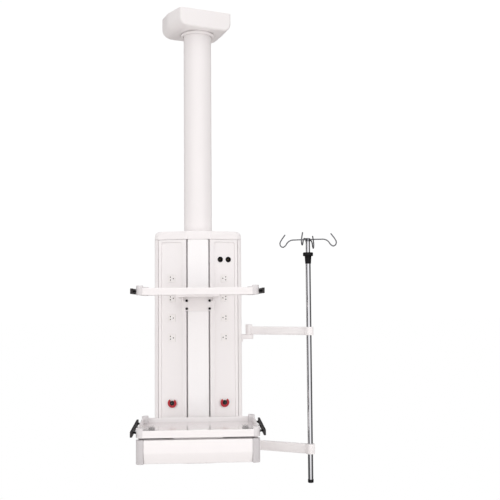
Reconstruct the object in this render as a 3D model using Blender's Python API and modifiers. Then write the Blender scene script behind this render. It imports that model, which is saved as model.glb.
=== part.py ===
"""A ceiling-hung medical supply pendant: a drop tube, a service head with sockets and gas outlets,
a shelf, a tray with a drawer, and an IV pole on two swinging arms.

Metres, +Z up, front towards -Y. The origin is the middle of the ceiling plate's top face.
"""

import math

import bmesh
import bpy
from mathutils import Matrix, Vector

GAP = 0.0003  # clearance between touching pieces

# Ceiling mount
COVER_LEFT = (-0.165, -0.136)  # at its widest, and at its front
COVER_RIGHT = (0.148, 0.142)
COVER_FRONT = -0.127
COVER_BACK = 0.150
COVER_BULGE_Y = -0.005  # the sides are widest behind this
COVER_FRONT_ROUND = 0.010  # of the lower edge
COVER_SIDE_ROUND = 0.042
COVER_BACK_CORNER = 0.072
COVER_TURN = math.radians(20)
COVER_BOTTOM = -0.0945
COLLAR_HEIGHT = 0.014
CEILING_PLATE_HALF = 0.118
CEILING_PLATE_THICKNESS = 0.010
TUBE_RADIUS = 0.072
TUBE_WALL = 0.004

# Service head, a six-sided column
HEAD_TOP = -1.144
HEAD_CAP_SEAM = -1.187
HEAD_BOTTOM = -2.305
HEAD_HALF_WIDTH = 0.2215
HEAD_SIDE_HALF_DEPTH = 0.055
HEAD_HALF_DEPTH = 0.120
SHELL_CORNER = (0.2035, 0.0735)  # where a sloping front face meets the rounded side
SHELL_WALL = 0.004
SLOT_INNER = 0.0523
SLOT_OUTER = 0.0608
SLOT_DEPTH = 0.034

# Service panels, sunk into the sloping faces
PANEL_CENTRE_X = 0.1345
PANEL_WIDTH = 0.110
PANEL_TOP = -1.200
PANEL_BOTTOM = -2.255
PANEL_SINK = 0.0045
PANEL_THICKNESS = 0.003
SOCKET_TOP_Z = -1.384
SOCKET_PITCH = 0.0995
SOCKET_HALF = 0.0192
PIN_HOLE_RADIUS = 0.0037
DATA_OUTLET_Z = -1.288
GAS_OUTLET_Z = -2.008

# Shelf and tray, the same frame twice
FRAME_HALF_WIDTH = 0.275
FRAME_FRONT = -0.570
FRAME_BACK = -0.170
FRAME_HEIGHT = 0.032
CORNER_RISE = 0.011
CORNER_SIZE = 0.031
CORNER_PROUD = 0.0008  # the corner blocks stand this far out of the rim
SHELF_TOP = -1.438
TRAY_TOP = -2.068
RAIL_OUTER = 0.300
RAIL_SECTION = (0.010, 0.025)
RAIL_SPAN = (-0.575, -0.205)
RAIL_STANDOFFS = (-0.520, -0.390, -0.260)
RAIL_BELOW_TOP = 0.0145

# Bracket plates that clamp into the column's slots
PLATE_BACK = -0.1235
PLATE_THICKNESS = 0.008
SHELF_PLATE_BOTTOM = -1.548
TRAY_PLATE_BOTTOM = -2.196
PLATE_HALF_WIDTH = 0.0815
CLAMP_SCREW_X = 0.0575
CLAMP_SCREW_Z = (-1.4965, -1.5365)
TRAY_BOLT_Z = (-2.130, -2.176)

# Drawer unit under the tray
UNIT_TOP = -2.1086
UNIT_BOTTOM = -2.215
HOUSING_HALF_WIDTH = 0.2665
HOUSING_WALL = 0.0025
DRAWER_HALF_WIDTH = 0.2225
DRAWER_FRONT_HALF_WIDTH = 0.2410
DRAWER_BACK = -0.192
DRAWER_CREASE_Z = -2.1675
RUNNER_Z = -2.162
RUNNER_OUTER = 0.2300
MIDDLE_SPAN = (0.2304, 0.2384)  # between the posts, so that it can slide out
CHANNEL_INNER = 0.2388

# IV pole
PIVOT = (0.262, 0.0)
POLE = (0.554, -0.159)
ARM_THICKNESS = 0.022
UPPER_ARM = (-1.6727, -1.632)
UPPER_SLEEVE_TOP = -1.6215
LOWER_ARM = (-2.2590, -2.211)
LOWER_SLEEVE_TOP = -2.2070
POLE_RADIUS = 0.0127
POLE_TOP = -1.2625
COLLAR_TOP = -1.2580
COLLAR_BOTTOM = -1.3150
INNER_BOTTOM = -1.850
POLE_BOTTOM = -2.3977
INNER_RADIUS = 0.0110
HOOK_LEVEL = -1.193
HOOK_TURN = math.radians(-20)

for old in list(bpy.data.objects):
    bpy.data.objects.remove(old, do_unlink=True)

parts = bpy.data.collections.new("medical_supply_pendant")
cutters = bpy.data.collections.new("cutters")
bpy.context.scene.collection.children.link(parts)
bpy.context.scene.collection.children.link(cutters)


def material(name, colour, roughness, metallic=0.0):
    made = bpy.data.materials.new(name)
    made.use_nodes = True
    shader = made.node_tree.nodes["Principled BSDF"]
    shader.inputs["Base Color"].default_value = (*colour, 1.0)
    shader.inputs["Roughness"].default_value = roughness
    shader.inputs["Metallic"].default_value = metallic
    return made


WHITE_PAINT = material("white_paint", (0.87, 0.86, 0.85), 0.35)
PANEL_WHITE = material("panel_white", (0.78, 0.76, 0.75), 0.40)
GREY_PLASTIC = material("grey_plastic", (0.55, 0.54, 0.56), 0.45)
BLACK_PLASTIC = material("black_plastic", (0.02, 0.02, 0.022), 0.40)
RED_PLASTIC = material("red_plastic", (0.45, 0.015, 0.025), 0.35)
CHROME = material("chrome", (0.80, 0.80, 0.82), 0.08, 1.0)
STEEL = material("steel", (0.45, 0.45, 0.46), 0.35, 1.0)
ALUMINIUM = material("aluminium", (0.75, 0.75, 0.76), 0.35, 1.0)
HOSE = material("hose", (0.10, 0.10, 0.11), 0.60)


def empty(name, location=(0.0, 0.0, 0.0), turn=0.0, parent=None):
    """A joint axis or a local frame, in the parts collection."""
    made = bpy.data.objects.new(name, None)
    made.location = location
    made.rotation_euler = (0.0, 0.0, turn)
    made.empty_display_size = 0.05
    made.parent = parent
    parts.objects.link(made)
    return made


def hold(obj, parent):
    """Parents obj and leaves it where it is in the world."""
    bpy.context.view_layer.update()
    obj.parent = parent
    obj.matrix_parent_inverse = parent.matrix_world.inverted()
    return obj


def finish(obj, name, paint, parent):
    """Names a piece, paints it and puts it in the parts collection, or with the cutters."""
    obj.name = name
    for collection in list(obj.users_collection):
        collection.objects.unlink(obj)
    if paint is None:
        cutters.objects.link(obj)
        obj.hide_render = True
        obj.display_type = "WIRE"
    else:
        obj.data.materials.clear()
        obj.data.materials.append(paint)
        parts.objects.link(obj)
    if parent is not None:
        hold(obj, parent)
    return obj


def bevel(obj, width, segments=2, angle=40):
    made = obj.modifiers.new("round", "BEVEL")
    made.width = width
    made.segments = segments
    made.limit_method = "ANGLE"
    made.angle_limit = math.radians(angle)
    made.use_clamp_overlap = True
    return obj


def boolean(obj, other, operation="DIFFERENCE"):
    made = obj.modifiers.new(operation.lower(), "BOOLEAN")
    made.operation = operation
    made.object = other
    made.solver = "EXACT"
    return obj


def box(name, x, y, z, paint=None, parent=None, edge=0.0, segments=2):
    """A block between the low and high values of x, y and z, with its edges rounded."""
    bpy.ops.mesh.primitive_cube_add(size=1.0)
    obj = bpy.context.active_object
    size = (x[1] - x[0], y[1] - y[0], z[1] - z[0])
    obj.data.transform(Matrix.Diagonal((*size, 1.0)))
    obj.location = ((x[0] + x[1]) / 2, (y[0] + y[1]) / 2, (z[0] + z[1]) / 2)
    finish(obj, name, paint, parent)
    if edge:
        bevel(obj, edge, segments)
    return obj


def rod(name, radius, centre, low, high, axis="Z", paint=None, parent=None, sides=32, edge=0.0):
    """A cylinder of the given radius from low to high along axis, through the point centre."""
    bpy.ops.mesh.primitive_cylinder_add(vertices=sides, radius=radius, depth=high - low)
    obj = bpy.context.active_object
    spin = {"Z": (0, 0, 0), "Y": (math.pi / 2, 0, 0), "X": (0, math.pi / 2, 0)}[axis]
    obj.rotation_euler = spin
    place = list(centre)
    place["XYZ".index(axis)] = (low + high) / 2
    obj.location = place
    obj.data.shade_smooth()
    finish(obj, name, paint, parent)
    if edge:
        bevel(obj, edge)
    return obj


def turned(name, profile, paint=None, parent=None, location=(0, 0, 0), tilt=None, steps=32, loop=False):
    """Turns a profile of (radius, height) points about Z; it runs down the outside."""
    mesh = bpy.data.meshes.new(name)
    obj = bpy.data.objects.new(name, mesh)
    parts.objects.link(obj)
    shape = bmesh.new()
    points = [shape.verts.new((radius, 0.0, height)) for radius, height in profile]
    for first, second in zip(points, points[1:]):
        shape.edges.new((first, second))
    if loop:
        shape.edges.new((points[-1], points[0]))
    shape.to_mesh(mesh)
    shape.free()
    screw = obj.modifiers.new("turn", "SCREW")
    screw.steps = steps
    screw.render_steps = steps
    screw.use_merge_vertices = True
    screw.merge_threshold = 0.00001
    screw.use_smooth_shade = True
    obj.location = location
    if tilt is not None:
        obj.rotation_euler = tilt
    return finish(obj, name, paint, parent)


def as_mesh(curve_object):
    """Makes a curve a mesh with welded caps, and removes the curve."""
    bpy.context.view_layer.update()
    graph = bpy.context.evaluated_depsgraph_get()
    mesh = bpy.data.meshes.new_from_object(curve_object.evaluated_get(graph))
    shape = bmesh.new()
    shape.from_mesh(mesh)
    bmesh.ops.remove_doubles(shape, verts=shape.verts, dist=0.000005)
    bmesh.ops.recalc_face_normals(shape, faces=shape.faces)
    shape.to_mesh(mesh)
    shape.free()
    made = bpy.data.objects.new(curve_object.name, mesh)
    made.matrix_world = curve_object.matrix_world
    bpy.data.objects.remove(curve_object, do_unlink=True)
    return made


def flat(name, outlines, low, high, paint=None, parent=None, plane="XY", edge=0.0):
    """A sheet or bar with flat outlines (the second one is a hole), from low to high across its plane."""
    curve = bpy.data.curves.new(name, "CURVE")
    curve.dimensions = "2D"
    curve.fill_mode = "BOTH"
    curve.extrude = (high - low) / 2
    for outline in outlines:
        spline = curve.splines.new("POLY")
        spline.points.add(len(outline) - 1)
        spline.use_cyclic_u = True
        for point, (a, b) in zip(spline.points, outline):
            point.co = (a, b, 0.0, 1.0)
    obj = bpy.data.objects.new(name, curve)
    parts.objects.link(obj)
    middle = (low + high) / 2
    if plane == "XY":
        obj.location = (0.0, 0.0, middle)
    if plane == "XZ":
        obj.rotation_euler = (math.pi / 2, 0.0, 0.0)
        obj.location = (0.0, middle, 0.0)
    if plane == "YZ":
        obj.rotation_euler = (math.pi / 2, 0.0, math.pi / 2)
        obj.location = (middle, 0.0, 0.0)
    made = as_mesh(obj)
    finish(made, name, paint, parent)
    if edge:
        bevel(made, edge)
    return made


def rounded(corners, radius, steps=4):
    """An outline through the corners, each one rounded by an arc; radius is one value or one per corner."""
    radii = radius if isinstance(radius, (list, tuple)) else [radius] * len(corners)
    outline = []
    for index, corner in enumerate(corners):
        here = Vector(corner)
        before = (Vector(corners[index - 1]) - here).normalized()
        after = (Vector(corners[(index + 1) % len(corners)]) - here).normalized()
        if radii[index] <= 0:
            outline.append(tuple(here))
            continue
        half = before.angle(after) / 2
        run = radii[index] / math.tan(half)
        centre = here + (before + after).normalized() * radii[index] / math.sin(half)
        start = here + before * run - centre
        turn = start.angle_signed(here + after * run - centre)
        for step in range(steps + 1):
            spoke = start.copy()
            spoke.rotate(Matrix.Rotation(-turn * step / steps, 2))
            outline.append(tuple(centre + spoke))
    return outline


def rectangle(x, y, radius, steps=4):
    return rounded([(x[0], y[0]), (x[1], y[0]), (x[1], y[1]), (x[0], y[1])], radius, steps)


def wire(name, points, radius, paint=None, parent=None, resolution=2):
    """A round bar or hose through a list of points."""
    curve = bpy.data.curves.new(name, "CURVE")
    curve.dimensions = "3D"
    curve.bevel_depth = radius
    curve.bevel_resolution = resolution
    curve.use_fill_caps = True
    spline = curve.splines.new("POLY")
    spline.points.add(len(points) - 1)
    for point, place in zip(spline.points, points):
        point.co = (*place, 1.0)
    obj = bpy.data.objects.new(name, curve)
    parts.objects.link(obj)
    made = as_mesh(obj)
    made.data.shade_smooth()
    return finish(made, name, paint, parent)


def smooth_line(points, steps=4):
    """A smooth curve through the points, as a list of places (Catmull-Rom)."""
    line = []
    padded = [points[0], *points, points[-1]]
    for index in range(1, len(padded) - 2):
        a, b, c, d = (Vector(p) for p in padded[index - 1 : index + 3])
        for step in range(steps):
            t = step / steps
            bend = (2 * a - 5 * b + 4 * c - d) * t**2
            twist = (3 * b - a - 3 * c + d) * t**3
            line.append(0.5 * (2 * b + (c - a) * t + bend + twist))
    line.append(Vector(points[-1]))
    return line


# ---------------------------------------------------------------- ceiling mount


def ceiling_plate():
    half = CEILING_PLATE_HALF
    anchor = 0.098
    outline = rectangle((-half, half), (-half, half), 0.012)
    plate = flat("ceiling_plate", [outline], -CEILING_PLATE_THICKNESS, 0.0, STEEL)
    for x in (-anchor, anchor):
        for y in (-anchor, anchor):
            boolean(plate, rod("cut_anchor_hole", 0.0065, (x, y, 0), -0.02, 0.01, sides=16))
    for y in (-0.045, 0.045):
        boolean(plate, rod("cut_cable_passage", 0.016, (0, y, 0), -0.02, 0.01, sides=24))
    plate.rotation_euler = (0, 0, COVER_TURN)


def bearing_housing():
    outside = 0.092
    bore = 0.0800
    lip = 0.0735
    profile = [
        (bore, -0.010 - GAP),
        (outside, -0.010 - GAP),
        (outside, -0.070),
        (lip, -0.070),
        (lip, -0.060),
        (bore, -0.060),
    ]
    turned("bearing_housing", profile, STEEL, loop=True, steps=48)


def drawn_in(height, radius):
    """How far a wall has come in at a height above a bottom edge of this radius."""
    if height >= radius:
        return 0.0
    return radius - math.sqrt(radius**2 - (radius - height) ** 2)


def cover_outline(height):
    """The cover's outline at a height above its bottom: its sides bulge and its back corners are wide."""
    side = drawn_in(height, COVER_SIDE_ROUND)
    front = COVER_FRONT + drawn_in(height, COVER_FRONT_ROUND)
    back = COVER_BACK - side
    corners = [
        (COVER_LEFT[1] + side, front),
        (COVER_RIGHT[1] - side, front),
        (COVER_RIGHT[0] - side, COVER_BULGE_Y),
        (COVER_RIGHT[0] - side, back),
        (COVER_LEFT[0] + side, back),
        (COVER_LEFT[0] + side, COVER_BULGE_Y),
    ]
    wide = COVER_BACK_CORNER - side
    return rounded(corners, [0.014, 0.014, 0.150, wide, wide, 0.150], steps=4)


def ceiling_cover():
    """A drawn sheet cover, open at the ceiling, with a hole for the tube."""
    heights = [0.0, 0.0008, 0.003, 0.007, 0.013, 0.021, 0.031, COVER_SIDE_ROUND, -COVER_BOTTOM - 0.0005]
    shape = bmesh.new()
    rings = [[shape.verts.new((x, y, COVER_BOTTOM + z)) for x, y in cover_outline(z)] for z in heights]
    shape.faces.new(list(reversed(rings[0])))
    for lower, upper in zip(rings, rings[1:]):
        for index in range(len(lower)):
            after = (index + 1) % len(lower)
            shape.faces.new((lower[index], lower[after], upper[after], upper[index]))
    mesh = bpy.data.meshes.new("ceiling_cover")
    shape.to_mesh(mesh)
    shape.free()
    mesh.shade_smooth()
    cover = finish(bpy.data.objects.new("ceiling_cover", mesh), "ceiling_cover", WHITE_PAINT, None)
    wall = cover.modifiers.new("wall", "SOLIDIFY")
    wall.thickness = 0.0025
    wall.offset = -1
    boolean(cover, rod("cut_cover_hole", 0.0745, (0, 0, 0), -0.12, -0.05, sides=64))
    cover.rotation_euler = (0, 0, COVER_TURN)


def cover_collar():
    bore = 0.0745
    outside = 0.0865
    top = COVER_BOTTOM - GAP
    low = COVER_BOTTOM - COLLAR_HEIGHT
    profile = [
        (bore, top),
        (outside, top),
        (outside, low + 0.003),
        (outside - 0.003, low),
        (bore + 0.001, low),
        (bore, low + 0.001),
    ]
    turned("cover_collar", profile, WHITE_PAINT, loop=True, steps=48)


# ---------------------------------------------------------------- service head


def drop_tube(head):
    flange = 0.0790
    bottom = HEAD_TOP + GAP
    profile = [
        (TUBE_RADIUS - TUBE_WALL, -0.020),
        (TUBE_RADIUS, -0.020),
        (TUBE_RADIUS, -0.046),
        (flange, -0.046),
        (flange, -0.060 + GAP),
        (TUBE_RADIUS, -0.060 + GAP),
        (TUBE_RADIUS, bottom),
        (TUBE_RADIUS - TUBE_WALL, bottom),
    ]
    turned("drop_tube", profile, WHITE_PAINT, head, loop=True, steps=48)


def head_outline():
    """The whole column's outline, seen from above."""
    x, y = SHELL_CORNER
    side = HEAD_HALF_WIDTH
    flat_x = SLOT_OUTER
    right = [(flat_x, -HEAD_HALF_DEPTH), (x, -y), (side, -HEAD_SIDE_HALF_DEPTH)]
    right += [(a, -b) for a, b in reversed(right)]
    left = [(-a, -b) for a, b in right]
    return rounded(right + left, [0.010, 0.020, 0.020, 0.020, 0.020, 0.010] * 2, steps=3)


def head_top_cap(head):
    """A hollow casting that rounds over towards its top; the hoses come through its middle."""
    low = HEAD_CAP_SEAM + GAP
    end_radius = 0.026
    front_radius = 0.006
    outline = head_outline()
    levels = [(low, 1.0, 1.0)]
    for step in range(6):
        angle = math.radians(15 * step)
        across = 1 - end_radius * (1 - math.cos(angle)) / HEAD_HALF_WIDTH
        deep = 1 - front_radius * (1 - math.cos(angle)) / HEAD_HALF_DEPTH
        drop = end_radius * (1 - math.sin(angle) / math.sin(math.radians(75)))
        levels.append((HEAD_TOP - drop, across, deep))
    shape = bmesh.new()
    rings = [[shape.verts.new((x * across, y * deep, z)) for x, y in outline] for z, across, deep in levels]
    shape.faces.new(list(reversed(rings[0])))
    shape.faces.new(rings[-1])
    for lower, upper in zip(rings, rings[1:]):
        for index in range(len(outline)):
            after = (index + 1) % len(outline)
            shape.faces.new((lower[index], lower[after], upper[after], upper[index]))
    bmesh.ops.recalc_face_normals(shape, faces=shape.faces)
    mesh = bpy.data.meshes.new("head_top_cap")
    shape.to_mesh(mesh)
    shape.free()
    cap = finish(bpy.data.objects.new("head_top_cap", mesh), "head_top_cap", WHITE_PAINT, head)
    side = HEAD_HALF_WIDTH - 0.030
    depth = HEAD_SIDE_HALF_DEPTH - 0.006
    pocket = rectangle((-side, side), (-depth, depth), 0.006)
    boolean(cap, flat("cut_cap_pocket", [pocket], HEAD_CAP_SEAM - 0.01, HEAD_TOP - 0.016, parent=head))
    boolean(cap, rod("cut_cap_hole", 0.060, (0, 0, 0), -1.20, -1.10, parent=head))


def head_bottom_cap(head):
    low = HEAD_BOTTOM
    high = HEAD_BOTTOM + 0.012
    flat("head_bottom_cap", [head_outline()], low, high, WHITE_PAINT, head, edge=0.003)


def head_spine(head):
    """The central extrusion: wide at its middle and narrow at the slots, with one duct inside."""
    wide = SLOT_OUTER - GAP
    waist = HEAD_HALF_DEPTH - SLOT_DEPTH
    nose = HEAD_HALF_DEPTH - 0.0085
    quarter = [(SLOT_INNER, -nose), (SLOT_INNER, -waist), (wide, -waist)]
    right = quarter + [(x, -y) for x, y in reversed(quarter)]
    outline = right + [(-x, -y) for x, y in right]
    duct = rectangle((-0.044, 0.044), (-0.078, 0.078), 0.006)
    low = HEAD_BOTTOM + 0.012 + GAP
    flat("head_spine", [outline, duct], low, HEAD_CAP_SEAM, ALUMINIUM, head)


def centre_cover(name, side, head):
    """A gently crowned strip that covers the spine between the two slots."""
    edge_y = HEAD_HALF_DEPTH - 0.0035
    crown = 0.0055
    back = HEAD_HALF_DEPTH - 0.0085 + GAP
    half = SLOT_INNER
    arc = []
    for step in range(-6, 7):
        share = step / 6
        arc.append((share * half, -(edge_y + crown * (1 - share**2))))
    outline = [(-half, -back), *arc, (half, -back)]
    outline = [(x * side, y * side) for x, y in outline]
    low = HEAD_BOTTOM + 0.012 + GAP
    flat(name, [outline], low, HEAD_CAP_SEAM, WHITE_PAINT, head)


def shell(name, side, frame, head):
    """One side of the column: a tube with a window for its service panel."""
    x, y = SHELL_CORNER
    corners = [
        (SLOT_OUTER, -HEAD_HALF_DEPTH),
        (x, -y),
        (HEAD_HALF_WIDTH, -HEAD_SIDE_HALF_DEPTH),
        (HEAD_HALF_WIDTH, HEAD_SIDE_HALF_DEPTH),
        (x, y),
        (SLOT_OUTER, HEAD_HALF_DEPTH),
    ]
    inner = [
        (SLOT_OUTER + SHELL_WALL, -HEAD_HALF_DEPTH + 0.0055),
        (x - 0.002, -y + SHELL_WALL),
        (HEAD_HALF_WIDTH - SHELL_WALL, -HEAD_SIDE_HALF_DEPTH + 0.002),
        (HEAD_HALF_WIDTH - SHELL_WALL, HEAD_SIDE_HALF_DEPTH - 0.002),
        (x - 0.002, y - SHELL_WALL),
        (SLOT_OUTER + SHELL_WALL, HEAD_HALF_DEPTH - 0.0055),
    ]
    outer_radii = [0.004, 0.020, 0.020, 0.020, 0.020, 0.004]
    inner_radii = [0.002, 0.016, 0.016, 0.016, 0.016, 0.002]
    outlines = [rounded(corners, outer_radii), rounded(inner, inner_radii)]
    outlines = [[(a * side, b) for a, b in outline] for outline in outlines]
    low = HEAD_BOTTOM + 0.012 + GAP
    made = flat(name, outlines, low, HEAD_CAP_SEAM, WHITE_PAINT, head)
    half = PANEL_WIDTH / 2
    window = rectangle((-half, half), (PANEL_BOTTOM, PANEL_TOP), 0.010)
    cutter = flat("cut_window_" + name, [window], -0.02, PANEL_SINK + 0.012, plane="XZ")
    cutter.parent = frame
    boolean(made, cutter)


def face_frame(name, side, head):
    """A local frame on a sloping face: its X runs along the face and its -Y points out of it."""
    x, y = SHELL_CORNER
    slope = math.atan2(HEAD_HALF_DEPTH - y, x - SLOT_OUTER)
    drop = (PANEL_CENTRE_X - SLOT_OUTER) * math.tan(slope)
    return empty(name, (side * PANEL_CENTRE_X, -HEAD_HALF_DEPTH + drop, 0), side * slope, head)


def on_face(obj, frame):
    """Reads an object's place as one in the local frame of a sloping face."""
    obj.parent = frame
    return obj


def service_panel(name, frame, outlets):
    """A plate behind the window, cut out for each insert."""
    half = PANEL_WIDTH / 2 - GAP
    front = PANEL_SINK
    outline = rectangle((-half, half), (PANEL_BOTTOM + GAP, PANEL_TOP - GAP), 0.0098)
    panel = flat(name, [outline], front, front + PANEL_THICKNESS, PANEL_WHITE, plane="XZ")
    on_face(panel, frame)
    for index in range(4):
        z = SOCKET_TOP_Z - index * SOCKET_PITCH
        seat = SOCKET_HALF + GAP
        hole = box("cut_socket_seat", (-seat, seat), (0, 0.03), (z - seat, z + seat))
        boolean(panel, on_face(hole, frame))
    for x, z, radius in outlets:
        hole = rod("cut_outlet_seat", radius + GAP, (x, 0, z), -0.01, 0.03, axis="Y", sides=24)
        boolean(panel, on_face(hole, frame))


def socket(name, index, side, frame):
    """A square insert with three round pin holes: a pair, and one beside it."""
    z = SOCKET_TOP_Z - index * SOCKET_PITCH
    face = PANEL_SINK
    half = SOCKET_HALF
    insert = box(name, (-half, half), (face - 0.0015, face + 0.018), (z - half, z + half), WHITE_PAINT)
    on_face(insert, frame)
    pair_x = side * 0.0070
    single_x = -side * 0.0085
    for x, dz in ((pair_x, 0.0072), (pair_x, -0.0072), (single_x, 0.0)):
        pin = rod("cut_pin_hole", PIN_HOLE_RADIUS, (x, 0, z + dz), -0.01, face + 0.012, axis="Y", sides=8)
        boolean(insert, on_face(pin, frame))


FACE_FORWARD = (math.pi / 2, 0, 0)  # turns a profile's +Z to -Y, out of the face


def data_outlet(name, x, frame):
    """A round black connector: a flange, a bore and a centre pin."""
    profile = [
        (0.0, 0.0005),
        (0.0022, 0.0005),
        (0.0022, -0.0100),
        (0.0080, -0.0100),
        (0.0080, 0.0035),
        (0.0128, 0.0035),
        (0.0143, 0.0020),
        (0.0143, 0.0003),
        (0.0100, 0.0003),
        (0.0100, -0.0160),
        (0.0, -0.0160),
    ]
    place = (x, PANEL_SINK, DATA_OUTLET_Z)
    on_face(turned(name, profile, BLACK_PLASTIC, None, place, FACE_FORWARD, steps=24), frame)


def gas_outlet(name, x, frame):
    """A black connector body with a probe bore; the release ring slides on its neck."""
    profile = [
        (0.0, -0.0100),
        (0.0052, -0.0100),
        (0.0052, 0.0105),
        (0.0100, 0.0105),
        (0.0112, 0.0095),
        (0.0112, 0.0015),
        (0.0215, 0.0015),
        (0.0215, 0.0003),
        (0.0112, 0.0003),
        (0.0112, -0.0250),
        (0.0, -0.0250),
    ]
    place = (x, PANEL_SINK, GAS_OUTLET_Z)
    on_face(turned(name, profile, BLACK_PLASTIC, None, place, FACE_FORWARD, steps=32), frame)


def gas_ring(name, x, frame):
    """A red horseshoe, open at the top, that is pressed in to free the probe."""
    outer = 0.0232
    inner = 0.0118
    mouth = math.radians(38)
    arc = [math.pi / 2 + mouth + step / 24 * (2 * math.pi - 2 * mouth) for step in range(25)]
    outline = [(outer * math.cos(a), outer * math.sin(a)) for a in arc]
    outline += [(inner * math.cos(a), inner * math.sin(a)) for a in reversed(arc)]
    ring = flat(name, [outline], -0.0100, -0.0060, RED_PLASTIC, plane="XZ", edge=0.0012)
    ring.location = (x, PANEL_SINK - 0.0080, GAS_OUTLET_Z)
    on_face(ring, frame)


def gas_hose(name, side, head):
    """A hose from the back of a gas outlet, up the shell and through the cap into the drop tube."""
    stops = [
        (0.1400, -0.0600, -2.008),
        (0.1420, -0.0440, -2.005),
        (0.1430, -0.0220, -1.992),
        (0.1430, -0.0050, -1.955),
        (0.1430, 0.0, -1.880),
        (0.1400, 0.0, -1.500),
        (0.1340, 0.0, -1.270),
        (0.1200, 0.0, -1.210),
        (0.0980, 0.0, -1.184),
        (0.0700, 0.0, -1.1730),
        (0.0520, 0.0, -1.163),
        (0.0400, 0.0, -1.138),
        (0.0340, 0.0, -1.090),
        (0.0320, 0.0, -0.900),
        (0.0320, 0.0, -0.030),
    ]
    line = smooth_line([(x * side, y, z) for x, y, z in stops], 3)
    wire(name, line, 0.0055, HOSE, head)


def service_head():
    head = empty("pendant_axis")
    drop_tube(head)
    head_top_cap(head)
    head_bottom_cap(head)
    head_spine(head)
    centre_cover("centre_cover", 1, head)
    centre_cover("rear_cover", -1, head)
    for word, side in (("left", -1), ("right", 1)):
        frame = face_frame(word + "_face", side, head)
        shell(word + "_shell", side, frame, head)
        gas_x = -side * 0.0035
        outlets = [(gas_x, GAS_OUTLET_Z, 0.0112)]
        data = [-0.0215, 0.0215] if side > 0 else []
        outlets += [(x, DATA_OUTLET_Z, 0.0100) for x in data]
        service_panel(word + "_panel", frame, outlets)
        for index in range(4):
            socket(f"socket_{word}_{index + 1}", index, side, frame)
        for index, x in enumerate(data):
            data_outlet(f"data_outlet_{index + 1}", x, frame)
        gas_outlet("gas_outlet_" + word, gas_x, frame)
        gas_ring("gas_ring_" + word, gas_x, frame)
        gas_hose("gas_hose_" + word, side, head)
    return head


# ---------------------------------------------------------------- shelf and tray


def carrier_frame(name, top, parent):
    """A rim with a ledge inside and a raised block at each corner."""
    width = FRAME_HALF_WIDTH
    low = top - FRAME_HEIGHT
    rim_wall = 0.008
    ledge = 0.022
    outer = rectangle((-width, width), (FRAME_FRONT, FRAME_BACK), 0.022)
    inner = rectangle(
        (-width + rim_wall, width - rim_wall), (FRAME_FRONT + rim_wall, FRAME_BACK - rim_wall), 0.014
    )
    rim = flat(name, [outer, inner], low, top, WHITE_PAINT, parent)
    ledge_outer = rectangle((-width + 0.003, width - 0.003), (FRAME_FRONT + 0.003, FRAME_BACK - 0.003), 0.018)
    ledge_inner = rectangle((-width + ledge, width - ledge), (FRAME_FRONT + ledge, FRAME_BACK - ledge), 0.006)
    ledges = [ledge_outer, ledge_inner]
    boolean(rim, flat("join_ledge_" + name, ledges, low + 0.0005, low + 0.006, parent=parent), "UNION")
    reach = CORNER_SIZE
    for side in (-1, 1):
        for y, step in ((FRAME_FRONT - CORNER_PROUD, 1), (FRAME_BACK + CORNER_PROUD, -1)):
            x = side * (width + CORNER_PROUD)
            far_x = x - side * reach
            far_y = y + step * reach
            corners = [(x, y), (far_x, y), (far_x, far_y), (x, far_y)]
            if side * step < 0:
                corners.reverse()
            radii = [0.0] * 4
            radii[corners.index((x, y))] = 0.022
            outline = [rounded(corners, radii)]
            block = flat("join_corner", outline, low - CORNER_PROUD, top + CORNER_RISE, parent=parent)
            boolean(rim, block, "UNION")
    return rim


def deck(name, top, parent):
    """The sheet that lies on the ledge."""
    x = FRAME_HALF_WIDTH - 0.008 - GAP
    front = FRAME_FRONT + 0.008 + GAP
    back = FRAME_BACK - 0.008 - GAP
    inner = 0.0225
    corners = [(-x, front), (x, front), (x, back), (-x, back)]
    outline = []
    for cx, cy in corners:
        sx = math.copysign(1, cx)
        sy = -1 if cy == front else 1
        notch = [(cx - sx * inner, cy), (cx - sx * inner, cy - sy * inner), (cx, cy - sy * inner)]
        if sx * sy > 0:
            notch.reverse()
        outline += notch
    low = top - FRAME_HEIGHT + 0.006 + GAP
    flat(name, [outline], low, low + 0.003, PANEL_WHITE, parent)


def side_rail(name, side, top, parent):
    """A standard equipment rail on three stand-offs."""
    thick, tall = RAIL_SECTION
    middle = top - RAIL_BELOW_TOP
    x = sorted((side * RAIL_OUTER, side * (RAIL_OUTER - thick)))
    rail = box(name, x, RAIL_SPAN, (middle - tall / 2, middle + tall / 2), BLACK_PLASTIC, parent)
    bevel(rail, 0.001, 1)
    foot = sorted((side * (FRAME_HALF_WIDTH + GAP), side * (RAIL_OUTER - 0.004)))
    for y in RAIL_STANDOFFS:
        standoff = rod("join_standoff", 0.006, (0, y, middle), *foot, axis="X", sides=16, parent=parent)
        boolean(rail, standoff, "UNION")


def shelf():
    axis = empty("shelf_axis", (0, 0, SHELF_TOP))
    carrier_frame("shelf_frame", SHELF_TOP, axis)
    deck("shelf_deck", SHELF_TOP, axis)
    side_rail("shelf_rail_left", -1, SHELF_TOP, axis)
    side_rail("shelf_rail_right", 1, SHELF_TOP, axis)
    shelf_bracket(axis)
    number = 0
    for z in CLAMP_SCREW_Z:
        for x in (-CLAMP_SCREW_X, CLAMP_SCREW_X):
            number += 1
            clamp_screw(f"clamp_screw_{number}", x, z, axis)


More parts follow.
